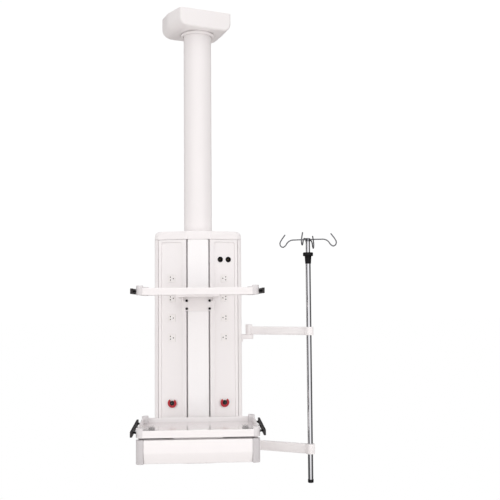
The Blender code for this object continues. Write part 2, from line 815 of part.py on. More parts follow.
def shelf_bracket(axis):
    """A plate against the column that flares out under the shelf, and a foot that carries the shelf."""
    top = SHELF_TOP - FRAME_HEIGHT - GAP
    flare = 0.1025
    waist = PLATE_HALF_WIDTH
    low = SHELF_PLATE_BOTTOM
    half = [(waist, low), (waist, -1.512), (0.0835, -1.498), (0.090, -1.486), (flare, -1.479), (flare, top)]
    outline = half + [(-x, z) for x, z in reversed(half)]
    back = PLATE_BACK
    front = PLATE_BACK - PLATE_THICKNESS
    bracket = flat("shelf_bracket", [outline], front, back, WHITE_PAINT, axis, plane="XZ")
    foot = box("join_shelf_foot", (-flare, flare), (-0.556, back - 0.002), (top - 0.008, top), parent=axis)
    boolean(bracket, foot, "UNION")
    for z in CLAMP_SCREW_Z:
        for x in (-CLAMP_SCREW_X, CLAMP_SCREW_X):
            hole = rod("cut_screw_hole", 0.0033, (x, 0, z), front - 0.01, back + 0.01, axis="Y", sides=16)
            boolean(bracket, hold(hole, axis))


def clamp_screw(name, x, z, axis):
    """A dark cap screw that runs through the plate into the slot."""
    profile = [
        (0.0, 0.0012),
        (0.0030, 0.0012),
        (0.0030, 0.0040),
        (0.0058, 0.0040),
        (0.0066, 0.0032),
        (0.0066, 0.0003),
        (0.0030, 0.0003),
        (0.0030, -0.0300),
        (0.0, -0.0300),
    ]
    place = (x, PLATE_BACK - PLATE_THICKNESS, z)
    turned(name, profile, BLACK_PLASTIC, axis, place, FACE_FORWARD, steps=16)


def tray(head):
    carrier_frame("tray_frame", TRAY_TOP, head)
    deck("tray_deck", TRAY_TOP, head)
    side_rail("tray_rail_left", -1, TRAY_TOP, head)
    side_rail("tray_rail_right", 1, TRAY_TOP, head)
    top = TRAY_TOP - FRAME_HEIGHT - GAP
    back = PLATE_BACK
    front = PLATE_BACK - PLATE_THICKNESS
    plate_x = (-PLATE_HALF_WIDTH, PLATE_HALF_WIDTH)
    bracket = box("tray_bracket", plate_x, (front, back), (TRAY_PLATE_BOTTOM, top), WHITE_PAINT, head)
    foot = box("join_tray_foot", (-0.110, 0.110), (-0.545, back - 0.002), (top - 0.008, top), parent=head)
    boolean(bracket, foot, "UNION")
    for z in TRAY_BOLT_Z:
        for x in (-CLAMP_SCREW_X, CLAMP_SCREW_X):
            span = (front - 0.005, front + 0.004)
            bolt = rod("join_bolt", 0.0064, (x, 0, z), *span, axis="Y", sides=16, parent=head)
            boolean(bracket, bolt, "UNION")


# ---------------------------------------------------------------- drawer unit


def drawer_housing(head):
    """A sheet box, open in front, with a slide channel on each inner wall."""
    x = HOUSING_HALF_WIDTH
    wall = HOUSING_WALL
    front = -0.5450
    back = -0.1725
    housing = box("drawer_housing", (-x, x), (front, back), (UNIT_BOTTOM, UNIT_TOP), WHITE_PAINT, head)
    inside = box(
        "cut_housing_inside",
        (-x + wall, x - wall),
        (front - 0.01, back - wall),
        (UNIT_BOTTOM + wall, UNIT_TOP - wall),
        parent=head,
    )
    boolean(housing, inside)
    for side in (-1, 1):
        channel = sorted((side * (x - wall + 0.001), side * CHANNEL_INNER))
        z = (RUNNER_Z - 0.020, RUNNER_Z + 0.020)
        rib = box("join_channel", channel, (front, back - 0.001), z, parent=head)
        boolean(housing, rib, "UNION")


def drawer_post(name, side, head):
    """A grey rounded post beside the drawer front."""
    x0 = side * (DRAWER_FRONT_HALF_WIDTH + 0.0005)
    x1 = side * FRAME_HALF_WIDTH
    corners = [(x0, -0.5455), (x0, FRAME_FRONT), (x1, FRAME_FRONT), (x1, -0.5455)]
    radii = [0.0, 0.0, 0.020, 0.0]
    if side < 0:
        corners.reverse()
        radii.reverse()
    flat(name, [rounded(corners, radii, 6)], UNIT_BOTTOM, UNIT_TOP, GREY_PLASTIC, head)


def slide_middles(axis):
    for word, side in (("left", -1), ("right", 1)):
        x = sorted(side * value for value in MIDDLE_SPAN)
        box("slide_middle_" + word, x, (-0.535, -0.200), (RUNNER_Z - 0.018, RUNNER_Z + 0.018), STEEL, axis)


def drawer(axis):
    """An open box with a runner on each side, and a front whose lower half slopes in as a finger pull."""
    x = DRAWER_HALF_WIDTH
    wall = 0.002
    front = -0.5477
    low = UNIT_BOTTOM + 0.008
    high = UNIT_TOP - 0.012
    tub = box("drawer_box", (-x, x), (front, DRAWER_BACK), (low, high), PANEL_WHITE, axis)
    hollow = (front + wall, DRAWER_BACK - wall)
    inside = box("cut_drawer_inside", (-x + wall, x - wall), hollow, (low + wall, 0), parent=axis)
    boolean(tub, inside)
    for side in (-1, 1):
        runner = sorted((side * (x - 0.001), side * RUNNER_OUTER))
        z = (RUNNER_Z - 0.016, RUNNER_Z + 0.016)
        rib = box("join_runner", runner, (front, DRAWER_BACK), z, parent=axis)
        boolean(tub, rib, "UNION")
    outline = [
        (front - GAP, UNIT_TOP - 0.001),
        (front - GAP, UNIT_BOTTOM + 0.001),
        (FRAME_FRONT + 0.010, UNIT_BOTTOM + 0.001),
        (FRAME_FRONT, DRAWER_CREASE_Z),
        (FRAME_FRONT, UNIT_TOP - 0.001),
    ]
    half = DRAWER_FRONT_HALF_WIDTH
    flat("drawer_front", [outline], -half, half, WHITE_PAINT, axis, plane="YZ", edge=0.0015)


# ---------------------------------------------------------------- IV pole


def pole_lug(name, arm_bottom, head):
    """A tab on the column's side with the pin that an arm turns on."""
    x, y = PIVOT
    top = arm_bottom - GAP
    base = HEAD_HALF_WIDTH + GAP
    half = 0.022
    corners = [(base, -half), (x + half, -half), (x + half, half), (base, half)]
    tab = rounded(corners, [0, half - 0.0001, half - 0.0001, 0], 8)
    lug = flat(name, [tab], top - 0.023, top, WHITE_PAINT, head)
    z = (top - 0.036, top - 0.002)
    plate = box("join_lug_plate", (base, base + 0.006), (-0.034, 0.034), z, parent=head)
    boolean(lug, plate, "UNION")
    pin = rod("join_lug_pin", 0.008, (x, y, 0), top - 0.010, top + 0.034, parent=head, sides=24)
    boolean(lug, pin, "UNION")


def pole_arm(name, span, sleeve_top, axis):
    """A flat arm from the sleeve on the pin to the boss round the pole."""
    low, high = span
    reach = math.hypot(POLE[0] - PIVOT[0], POLE[1] - PIVOT[1])
    turn = math.atan2(POLE[1] - PIVOT[1], POLE[0] - PIVOT[0])
    half = ARM_THICKNESS / 2
    arm = box(name, (0.010, reach - 0.010), (-half, half), (low, high), WHITE_PAINT, edge=0.006)
    boolean(arm, rod("join_sleeve_" + name, 0.0175, (0, 0, 0), low, sleeve_top, edge=0.003), "UNION")
    boss = rod("join_boss_" + name, 0.0225, (reach, 0, 0), low - 0.0002, high + 0.0002, edge=0.003)
    boolean(arm, boss, "UNION")
    boolean(arm, rod("cut_pin_" + name, 0.0083, (0, 0, 0), low - 0.01, low + 0.037, sides=24))
    boolean(arm, rod("cut_pole_" + name, POLE_RADIUS + GAP, (reach, 0, 0), low - 0.01, high + 0.01))
    pieces = [arm] + [modifier.object for modifier in arm.modifiers if modifier.type == "BOOLEAN"]
    bpy.context.view_layer.update()
    swing = Matrix.Translation((*PIVOT, 0)) @ Matrix.Rotation(turn, 4, "Z")
    for piece in pieces:
        piece.matrix_world = swing @ piece.matrix_world
    for piece in pieces:
        hold(piece, axis)


def tube(name, radius, wall, low, high, paint, axis, steps=32):
    profile = [(radius - wall, high), (radius, high), (radius, low), (radius - wall, low)]
    return turned(name, profile, paint, axis, (*POLE, 0), steps=steps, loop=True)


def pole_foot_cap(axis):
    outer = POLE_RADIUS + 0.0015
    bore = POLE_RADIUS + GAP
    low = POLE_BOTTOM - 0.0023
    high = POLE_BOTTOM + 0.014
    profile = [
        (0.0, POLE_BOTTOM - GAP),
        (bore, POLE_BOTTOM - GAP),
        (bore, high),
        (outer, high),
        (outer, low + 0.0015),
        (outer - 0.0015, low),
        (0.0, low),
    ]
    turned("pole_foot_cap", profile, BLACK_PLASTIC, axis, (*POLE, 0), steps=24)


def lock_collar(axis):
    """A black twist lock: a wide flange above a tapering sleeve."""
    flange = 0.0255
    profile = [
        (INNER_RADIUS + GAP, COLLAR_TOP),
        (flange - 0.002, COLLAR_TOP),
        (flange, COLLAR_TOP - 0.002),
        (flange, COLLAR_TOP - 0.016),
        (flange - 0.002, COLLAR_TOP - 0.018),
        (0.0170, COLLAR_TOP - 0.0185),
        (0.0145, COLLAR_BOTTOM),
        (POLE_RADIUS + GAP, COLLAR_BOTTOM),
        (POLE_RADIUS + GAP, POLE_TOP + GAP),
        (INNER_RADIUS + GAP, POLE_TOP + GAP),
    ]
    turned("lock_collar", profile, BLACK_PLASTIC, axis, (*POLE, 0), loop=True)


def hook_head(axis):
    """Four open hooks of round bar welded to a small hub."""
    hub = [
        (0.0, HOOK_LEVEL + 0.0080),
        (0.0100, HOOK_LEVEL + 0.0075),
        (0.0130, HOOK_LEVEL + 0.0045),
        (0.0130, HOOK_LEVEL - 0.0090),
        (0.0, HOOK_LEVEL - 0.0090),
    ]
    head = turned("hook_head", hub, CHROME, None, (*POLE, 0), steps=24)
    hook = [
        (0.008, 0.0),
        (0.050, 0.0),
        (0.086, -0.001),
        (0.104, -0.011),
        (0.117, -0.028),
        (0.130, -0.0355),
        (0.142, -0.029),
        (0.1455, -0.014),
        (0.135, 0.005),
        (0.119, 0.026),
    ]
    for index in range(4):
        turn = HOOK_TURN + index * math.pi / 2
        line = smooth_line([(r * math.cos(turn), r * math.sin(turn), z) for r, z in hook], 3)
        bar = wire(f"join_hook_{index + 1}", line, 0.0031, resolution=2)
        bar.location = (*POLE, HOOK_LEVEL)
        boolean(head, hold(bar, axis), "UNION")
    hold(head, axis)


def iv_pole(head):
    pole_lug("pole_lug_upper", UPPER_ARM[0], head)
    pole_lug("pole_lug_lower", LOWER_ARM[0], head)
    arm_axis = empty("iv_arm_axis", (*PIVOT, 0), parent=head)
    pole_arm("arm_upper", UPPER_ARM, UPPER_SLEEVE_TOP, arm_axis)
    pole_arm("arm_lower", LOWER_ARM, LOWER_SLEEVE_TOP, arm_axis)
    tube("pole_outer", POLE_RADIUS, 0.0014, POLE_BOTTOM, POLE_TOP, CHROME, arm_axis)
    pole_foot_cap(arm_axis)
    pole_axis = empty("pole_axis", (*POLE, POLE_TOP))
    lock_collar(pole_axis)
    tube("pole_inner_tube", INNER_RADIUS, 0.0012, INNER_BOTTOM, HOOK_LEVEL - 0.0093, CHROME, pole_axis, 24)
    hook_head(pole_axis)


ceiling_plate()
bearing_housing()
ceiling_cover()
cover_collar()
pendant = service_head()
shelf()
tray(pendant)
drawer_housing(pendant)
drawer_post("drawer_post_left", -1, pendant)
drawer_post("drawer_post_right", 1, pendant)
slide_axis = empty("drawer_axis", (0, FRAME_FRONT, RUNNER_Z))
slide_middles(slide_axis)
drawer(slide_axis)
iv_pole(pendant)
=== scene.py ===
"""A ceiling-hung medical supply pendant, finished piece by piece in the order it is put together."""

import math

import bmesh
import bpy
import numpy as np
from mathutils import Matrix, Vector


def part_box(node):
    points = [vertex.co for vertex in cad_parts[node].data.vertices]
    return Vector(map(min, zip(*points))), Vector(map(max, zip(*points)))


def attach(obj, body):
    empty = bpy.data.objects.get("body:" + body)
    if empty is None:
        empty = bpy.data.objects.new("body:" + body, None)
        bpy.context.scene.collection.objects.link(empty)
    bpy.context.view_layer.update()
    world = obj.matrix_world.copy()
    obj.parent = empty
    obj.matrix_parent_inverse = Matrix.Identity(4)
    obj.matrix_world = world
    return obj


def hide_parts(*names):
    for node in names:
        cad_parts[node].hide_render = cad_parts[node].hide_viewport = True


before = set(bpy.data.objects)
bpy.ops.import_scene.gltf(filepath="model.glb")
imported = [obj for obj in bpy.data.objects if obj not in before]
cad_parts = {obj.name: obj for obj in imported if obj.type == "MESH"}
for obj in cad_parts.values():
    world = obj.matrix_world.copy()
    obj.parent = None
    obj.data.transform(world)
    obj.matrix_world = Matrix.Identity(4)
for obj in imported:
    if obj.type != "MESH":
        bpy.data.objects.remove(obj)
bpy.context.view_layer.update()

# ---------------------------------------------------------------- ceiling plate and slew bearing
# A laser-cut steel plate bolted to the ceiling and, under it, a turned housing for the tube's
# bearing. Both are zinc plated: cool grey metal with a faint mottle and soft reflections.


def linear(code):
    """An sRGB hex value as linear red, green, blue and alpha, by the sRGB curve."""
    parts = np.array([int(code[i : i + 2], 16) / 255 for i in (1, 3, 5)])
    parts = np.where(parts <= 0.04045, parts / 12.92, ((parts + 0.055) / 1.055) ** 2.4)
    return (*parts.tolist(), 1.0)


def add_node(tree, kind, links=(), **values):
    """Adds a node; values are its settings or, in order, its sockets' numbers; links join sockets to it."""
    made = tree.nodes.new(kind)
    for name, value in values.items():
        if hasattr(made, name):
            setattr(made, name, value)
        else:
            made.inputs[name.replace("_", " ")].default_value = value
    for source, socket in links:
        tree.links.new(source, made.inputs[socket])
    return made


def blank_material(name, colour, roughness, metallic=0.0):
    """A material with its uniform values set on the shader itself."""
    made = bpy.data.materials.new(name)
    made.use_nodes = True
    shader = made.node_tree.nodes["Principled BSDF"]
    shader.inputs["Base Color"].default_value = linear(colour)
    shader.inputs["Roughness"].default_value = roughness
    shader.inputs["Metallic"].default_value = metallic
    made.diffuse_color = linear(colour)
    return made, made.node_tree, shader


def mottled(tree, shader, light, dark, size_mm, low_rough, high_rough, bump_mm, detail=3.0):
    """Drives colour, roughness and bump from one noise whose blotches are size_mm across."""
    place = add_node(tree, "ShaderNodeTexCoord")
    noise = add_node(tree, "ShaderNodeTexNoise", [(place.outputs["Object"], "Vector")])
    noise.inputs["Scale"].default_value = 1000 / size_mm
    noise.inputs["Detail"].default_value = detail
    colour = add_node(tree, "ShaderNodeMix", [(noise.outputs["Fac"], "Factor")], data_type="RGBA")
    colour.inputs["A"].default_value = linear(dark)
    colour.inputs["B"].default_value = linear(light)
    tree.links.new(colour.outputs["Result"], shader.inputs["Base Color"])
    rough = add_node(tree, "ShaderNodeMapRange", [(noise.outputs["Fac"], "Value")])
    rough.inputs["From Min"].default_value = 0.3
    rough.inputs["From Max"].default_value = 0.7
    rough.inputs["To Min"].default_value = low_rough
    rough.inputs["To Max"].default_value = high_rough
    tree.links.new(rough.outputs["Result"], shader.inputs["Roughness"])
    bump = add_node(tree, "ShaderNodeBump", [(noise.outputs["Fac"], "Height")])
    bump.inputs["Strength"].default_value = 1.0
    bump.inputs["Distance"].default_value = bump_mm / 1000
    tree.links.new(bump.outputs["Normal"], shader.inputs["Normal"])


# Bright zinc plate on steel: 3 mm spangle-like patches that barely differ.
zinc_plate, tree, shader = blank_material("zinc_plated_steel", "#B4B6B8", 0.34, 1.0)
mottled(tree, shader, "#BDBFC1", "#A2A4A8", 3.0, 0.28, 0.42, 0.004)


def coat(obj, material):
    """Gives an object one material in place of what it has."""
    obj.data.materials.clear()
    obj.data.materials.append(material)
    return obj


def keep_node(node, material, edge_mm=0.0):
    """A CAD piece whose shape is right: its material and, on request, softened edges and smooth rounds."""
    obj = coat(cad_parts[node], material)
    if edge_mm:
        weld = obj.modifiers.new("weld", "WELD")
        weld.merge_threshold = 0.00001
        soften_edges = obj.modifiers.new("edges", "BEVEL")
        soften_edges.width = edge_mm / 1000
        soften_edges.segments = 2
        soften_edges.limit_method = "ANGLE"
        soften_edges.angle_limit = math.radians(40)
        soften_edges.harden_normals = False


keep_node("ceiling_plate", zinc_plate)
keep_node("bearing_housing", zinc_plate)

# ---------------------------------------------------------------- ceiling cover
# A deep-drawn sheet steel box, powder coated warm white, pushed up against the ceiling round the
# tube. Its edges are drawn to a large radius; a pressed collar rings the hole.

COVER_TURN = math.radians(20)


def rounded_outline(corners, radii, steps=8):
    """A closed 2D outline: each corner is an arc tangent to its two sides. All corners are worked out
    together: the arc runs from one tangent point to the other about the centre on the bisector."""
    corner = np.asarray(corners, float)
    radius = np.broadcast_to(np.asarray(radii, float), (len(corner),))[:, None]
    before = np.roll(corner, 1, 0) - corner
    after = np.roll(corner, -1, 0) - corner
    before /= np.linalg.norm(before, axis=1, keepdims=True)
    after /= np.linalg.norm(after, axis=1, keepdims=True)
    half = np.arccos(np.clip((before * after).sum(1, keepdims=True), -1, 1)) / 2
    bisector = (before + after) / np.linalg.norm(before + after, axis=1, keepdims=True)
    centre = corner + bisector * radius / np.sin(half)
    start = corner + before * radius / np.tan(half) - centre
    cross = before[:, 0] * after[:, 1] - before[:, 1] * after[:, 0]
    sweep = (math.pi - 2 * half[:, 0]) * -np.sign(cross)
    angle = sweep[:, None] * np.linspace(0, 1, steps)[None, :]
    turned_x = start[:, :1] * np.cos(angle) - start[:, 1:] * np.sin(angle)
    turned_y = start[:, :1] * np.sin(angle) + start[:, 1:] * np.cos(angle)
    return (np.stack([turned_x, turned_y], -1) + centre[:, None, :]).reshape(-1, 2)


def offset_outline(corners, radii, inset=0.0, steps=8):
    """The rounded outline set in by inset: every side moves in along its normal, so a corner moves by
    inset (n1 + n2) / (1 + n1.n2), a bulging corner's radius shrinks and a hollow one's grows."""
    corner = np.asarray(corners, float)
    ahead = np.roll(corner, -1, 0) - corner
    ahead /= np.linalg.norm(ahead, axis=1, keepdims=True)
    behind = np.roll(ahead, 1, 0)
    following = np.roll(corner, -1, 0)
    hand = np.sign((corner[:, 0] * following[:, 1] - corner[:, 1] * following[:, 0]).sum())
    after = hand * ahead[:, ::-1] * np.array([-1, 1])
    before = hand * behind[:, ::-1] * np.array([-1, 1])
    moved = corner + inset * (before + after) / (1 + (before * after).sum(1, keepdims=True))
    bulge = hand * np.sign(behind[:, 0] * ahead[:, 1] - behind[:, 1] * ahead[:, 0])
    radius = np.maximum(np.broadcast_to(radii, (len(corner),)) - inset * bulge, 0.0002)
    return rounded_outline(moved, radius, steps)


def rectangle(x, y):
    """The corners of a rectangle between the low and high values of x and y."""
    return [(x[0], y[0]), (x[1], y[0]), (x[1], y[1]), (x[0], y[1])]


def skin(name, grid, material, body, node=(), rows_close=False, caps=True, sharp=35):
    """A mesh over a grid of points, rows along the piece and columns round it. Columns always close;
    rows close into a ring on request, and otherwise the end rows are capped. It then rides on body."""
    rows, columns = grid.shape[:2]
    index = np.arange(rows * columns).reshape(rows, columns)
    upper = np.roll(index, -1, 0)
    here, across = index, np.roll(index, -1, 1)
    far, near = np.roll(upper, -1, 1), upper
    quads = np.stack([here, across, far, near], -1)
    if not rows_close:
        quads = quads[:-1]
    faces = quads.reshape(-1, 4).tolist()
    if caps and not rows_close:
        faces += [index[0][::-1].tolist(), index[-1].tolist()]
    mesh = bpy.data.meshes.new(name)
    mesh.from_pydata(grid.reshape(-1, 3).tolist(), [], faces)
    shape = bmesh.new()
    shape.from_mesh(mesh)
    bmesh.ops.remove_doubles(shape, verts=shape.verts, dist=0.000002)
    bmesh.ops.recalc_face_normals(shape, faces=shape.faces)
    shape.to_mesh(mesh)
    shape.free()
    mesh.shade_smooth()
    mesh.set_sharp_from_angle(angle=math.radians(sharp))
    obj = bpy.data.objects.new(name, mesh)
    bpy.context.scene.collection.objects.link(obj)
    coat(obj, material)
    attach(obj, body)
    if node:
        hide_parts(*([node] if isinstance(node, str) else node))
    return obj


# Polyester powder coat, warm white: satin, with the fine orange peel of baked powder (2 mm cells)
# that breaks reflections up a little, and a clear sheen over it.
powder_white, tree, shader = blank_material("powder_coat_warm_white", "#F5F1F1", 0.36)
mottled(tree, shader, "#F7F3F3", "#F2EEEE", 2.2, 0.32, 0.42, 0.010, 1.5)
shader.inputs["Coat Weight"].default_value = 0.25
shader.inputs["Coat Roughness"].default_value = 0.18

low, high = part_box("ceiling_cover")
COVER_LEFT, COVER_RIGHT, COVER_FRONT, COVER_BACK = (-0.165, -0.136), (0.148, 0.142), -0.127, 0.150
SIDE_ROUND, FRONT_ROUND, BACK_CORNER, BULGE_Y = 0.042, 0.010, 0.072, -0.005
FRONT_CORNER, BULGE_ROUND = 0.014, 0.150
COVER_HOLE = 0.0745
COVER_SHEET = 0.002


def drawn_in(height, radius):
    """How far a wall has come in at a height above its lower edge: below the radius r it is
    r - sqrt(r^2 - (r - h)^2), and above it nothing."""
    short = np.clip(radius - height, 0, radius)
    return radius - math.sqrt(radius**2 - short**2)


def cover_ring(height):
    """The cover's outline at a height above its bottom, with bulging sides and wide back corners."""
    side = drawn_in(height, SIDE_ROUND)
    front = COVER_FRONT + drawn_in(height, FRONT_ROUND)
    corners = [
        (COVER_LEFT[1] + side, front),
        (COVER_RIGHT[1] - side, front),
        (COVER_RIGHT[0] - side, BULGE_Y),
        (COVER_RIGHT[0] - side, COVER_BACK - side),
        (COVER_LEFT[0] + side, COVER_BACK - side),
        (COVER_LEFT[0] + side, BULGE_Y),
    ]
    wide = BACK_CORNER - side
    radii = [FRONT_CORNER, FRONT_CORNER, BULGE_ROUND, wide, wide, BULGE_ROUND]
    return rounded_outline(corners, radii, 12)


fall = SIDE_ROUND * (1 - np.sin(np.radians(np.linspace(0, 90, 16))))
small = FRONT_ROUND * (1 - np.sin(np.radians(np.linspace(0, 80, 7))))
curved = np.unique(np.concatenate([fall, small]))[::-1]
tall = high.z - low.z
heights = np.concatenate([[tall, tall - 0.001], curved])
rings = [cover_ring(h) for h in heights]
walls = np.stack([np.column_stack([ring, np.full(len(ring), low.z + h)]) for ring, h in zip(rings, heights)])
towards = rings[-1] / np.linalg.norm(rings[-1], axis=1, keepdims=True)
hole = np.column_stack([towards * COVER_HOLE, np.full(len(towards), low.z)])
floor_rows = walls[-1] + (hole - walls[-1]) * np.array([0.02, 0.5, 1.0])[:, None, None]
cover_grid = np.concatenate([walls, floor_rows])
along, aside = math.cos(COVER_TURN), math.sin(COVER_TURN)
spin = np.array([[along, aside], [-aside, along]])
cover_grid[:, :, :2] = cover_grid[:, :, :2] @ spin
cover = skin("cover_shell", cover_grid, powder_white, "ceiling_mount", "ceiling_cover", caps=False)
sheet_wall = cover.modifiers.new("sheet", "SOLIDIFY")
sheet_wall.thickness = COVER_SHEET
sheet_wall.offset = -1


def lathe(
    name, profile, place, material, body, node=(), sides=96, ring=False, face=None, round_mm=0.0, sharp=35
):
    """Turns a profile of (radius, height) points about Z at place, or about the outward axis of a
    sloping face. A ring's profile closes on itself; otherwise its two ends are capped flat."""
    shape = np.asarray(profile, float)
    if round_mm:
        shape = rounded_outline(shape, round_mm / 1000, 5)
    angle = np.linspace(0, 2 * math.pi, sides, endpoint=False)
    grid = np.stack(
        [
            shape[:, :1] * np.cos(angle),
            shape[:, :1] * np.sin(angle),
            np.broadcast_to(shape[:, 1:], (len(shape), sides)),
        ],
        -1,
    )
    if face is not None:
        grid = grid[:, :, [0, 2, 1]] * np.array([1.0, -1.0, 1.0])
    grid = grid + np.asarray(place, float)
    if face is not None:
        grid = to_face(grid, face)
    skin(name, grid, material, body, node, rows_close=ring, sharp=sharp)


low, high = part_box("cover_collar")
collar = [(COVER_HOLE, high.z), (high.x, high.z), (high.x, low.z), (COVER_HOLE, low.z)]
AXIS = (0, 0, 0)
lathe("collar_ring", collar, AXIS, powder_white, "ceiling_mount", "cover_collar", ring=True, round_mm=2.6)

# ---------------------------------------------------------------- drop tube
# A drawn steel tube, powder coated, that turns in the bearing on a flange welded on near its top
# and is bolted to the head through the cap.

low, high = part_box("drop_tube")
flange = high.x
flange_top, flange_bottom = -0.046, -0.0597
tube = 0.072
bore = 0.068
profile = [
    (bore, high.z),
    (tube, high.z),
    (tube, flange_top),
    (flange, flange_top),
    (flange, flange_bottom),
    (tube, flange_bottom),
    (tube, low.z),
    (bore, low.z),
]
lathe("drop_tube_drawn", profile, AXIS, powder_white, "service_head", "drop_tube", 128, True, round_mm=0.4)

# ---------------------------------------------------------------- head caps
# Two castings that close the column's ends, powder coated like it. The top one rounds over at its
# ends and shows a fine lip where it sits on the side shells.

HEAD_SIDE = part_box("right_shell")[1].x
SHELL_CORNER = (0.2035, 0.0735)
SLOT_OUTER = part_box("right_shell")[0].x
HEAD_DEPTH = 0.120
SIDE_DEPTH = 0.055


def column_outline(steps=8):
    """The column seen from above: a flat middle, sloping faces and rounded sides, twice over."""
    x, y = SHELL_CORNER
    right = [(SLOT_OUTER, -HEAD_DEPTH), (x, -y), (HEAD_SIDE, -SIDE_DEPTH)]
    right += [(a, -b) for a, b in reversed(right)]
    left = [(-a, -b) for a, b in right]
    return rounded_outline(right + left, [0.010, 0.020, 0.020, 0.020, 0.020, 0.010] * 2, steps)


def cap_grid(levels):
    """Rows of the column's outline, each at a height and scaled across and deep."""
    outline = column_outline()
    z, across, deep = (np.array(part)[:, None] for part in zip(*levels))
    x = outline[None, :, 0] * across
    y = outline[None, :, 1] * deep
    return np.stack([x, y, np.broadcast_to(z, x.shape)], -1)


low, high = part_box("head_top_cap")
end_round = 0.026
levels = [(low.z + 0.0008, 0.990, 0.985), (low.z + 0.0030, 0.990, 0.985), (low.z + 0.0034, 1.0, 1.0)]
for angle in np.radians(np.linspace(0, 75, 12)):
    across = 1 - end_round * (1 - math.cos(angle)) / HEAD_SIDE
    deep = 1 - 0.006 * (1 - math.cos(angle)) / HEAD_DEPTH
    levels.append((high.z - end_round * (1 - math.sin(angle) / math.sin(math.radians(75))), across, deep))
levels.append((high.z, levels[-1][1] - 0.006, levels[-1][2] - 0.008))
skin("top_cap_casting", cap_grid(levels), powder_white, "service_head", "head_top_cap", sharp=50)
low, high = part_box("head_bottom_cap")
bottom = [(low.z, 0.975, 0.96), (low.z + 0.001, 0.990, 0.985), (low.z + 0.004, 1.0, 1.0), (high.z, 1.0, 1.0)]
skin("bottom_cap_casting", cap_grid(bottom), powder_white, "service_head", "head_bottom_cap", sharp=50)

# ---------------------------------------------------------------- column
# Extruded aluminium: a naturally anodised spine, and a shell on each side of it that leaves the four
# long clamping slots. A face frame with the panel window is let into each sloping face.

# Natural anodising: a pale satin grey with a faint mottle; it shows only at the bottom of the slots.
natural_anodised, tree, shader = blank_material("natural_anodised_aluminium", "#ECEAEA", 0.42, 0.15)
mottled(tree, shader, "#EFEDED", "#E8E6E6", 1.5, 0.38, 0.50, 0.004)
keep_node("head_spine", natural_anodised)

low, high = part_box("right_shell")
SLOPE = math.atan2(HEAD_DEPTH - SHELL_CORNER[1], SHELL_CORNER[0] - SLOT_OUTER)
PANEL_X = 0.1345
FACE_ORIGIN_Y = -HEAD_DEPTH + (PANEL_X - SLOT_OUTER) * math.tan(SLOPE)
WORDS = {-1: "left", 1: "right"}


def to_face(points, hand):
    """Moves points from a sloping face's own frame, where -Y points out of it, to their place:
    a turn about Z by the face's slope, then a shift to the panel's middle."""
    turn = hand * SLOPE
    x = points[..., 0] * math.cos(turn) - points[..., 1] * math.sin(turn)
    y = points[..., 0] * math.sin(turn) + points[..., 1] * math.cos(turn)
    return np.stack([x + hand * PANEL_X, y + FACE_ORIGIN_Y, points[..., 2]], -1)


def section_along_z(outline, low_z, high_z, edge=0.0006):
    """Rows of one outline up a straight extrusion, with a fine rounding at both ends."""
    middle = outline.mean(0)
    steps = [(low_z, edge), (low_z + edge, 0.0), (high_z - edge, 0.0), (high_z, edge)]
    reach = np.linalg.norm(outline - middle, axis=1).max()
    flat = [middle + (outline - middle) * (1 - inset / reach) for z, inset in steps]
    return np.stack([np.column_stack([row, np.full(len(row), z)]) for row, (z, inset) in zip(flat, steps)])


SET_BACK = 0.0085
SHELL_WALL = 0.004
for hand, word in WORDS.items():
    x, y = SHELL_CORNER
    back_y = SET_BACK / math.cos(SLOPE)
    outside = [
        (x + 0.0005, -y + 0.0005),
        (HEAD_SIDE, -SIDE_DEPTH),
        (HEAD_SIDE, SIDE_DEPTH),
        (x, y),
        (SLOT_OUTER, HEAD_DEPTH),
        (SLOT_OUTER, -HEAD_DEPTH + 0.004),
    ]
    inside = [
        (SLOT_OUTER + SHELL_WALL, -HEAD_DEPTH + 0.0054),
        (SLOT_OUTER + SHELL_WALL, HEAD_DEPTH - 0.0055),
        (x - 0.002, y - SHELL_WALL),
        (HEAD_SIDE - SHELL_WALL, SIDE_DEPTH - 0.002),
        (HEAD_SIDE - SHELL_WALL, -SIDE_DEPTH + 0.002),
        (x - 0.0030, -y + back_y - 0.0020),
    ]
    radii = [0.001, 0.020, 0.020, 0.020, 0.004, 0.0008, 0.0005, 0.002, 0.016, 0.016, 0.016, 0.0005]
    outline = rounded_outline(outside + inside, radii, 10) * np.array([hand, 1.0])
    rows = [np.column_stack([outline, np.full(len(outline), z)]) for z in (low.z, high.z)]
    skin(word + "_shell_extrusion", np.stack(rows), powder_white, "service_head", word + "_shell")

WINDOW = (-0.055, 0.055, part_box("right_panel")[0].z - 0.0003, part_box("right_panel")[1].z + 0.0003)


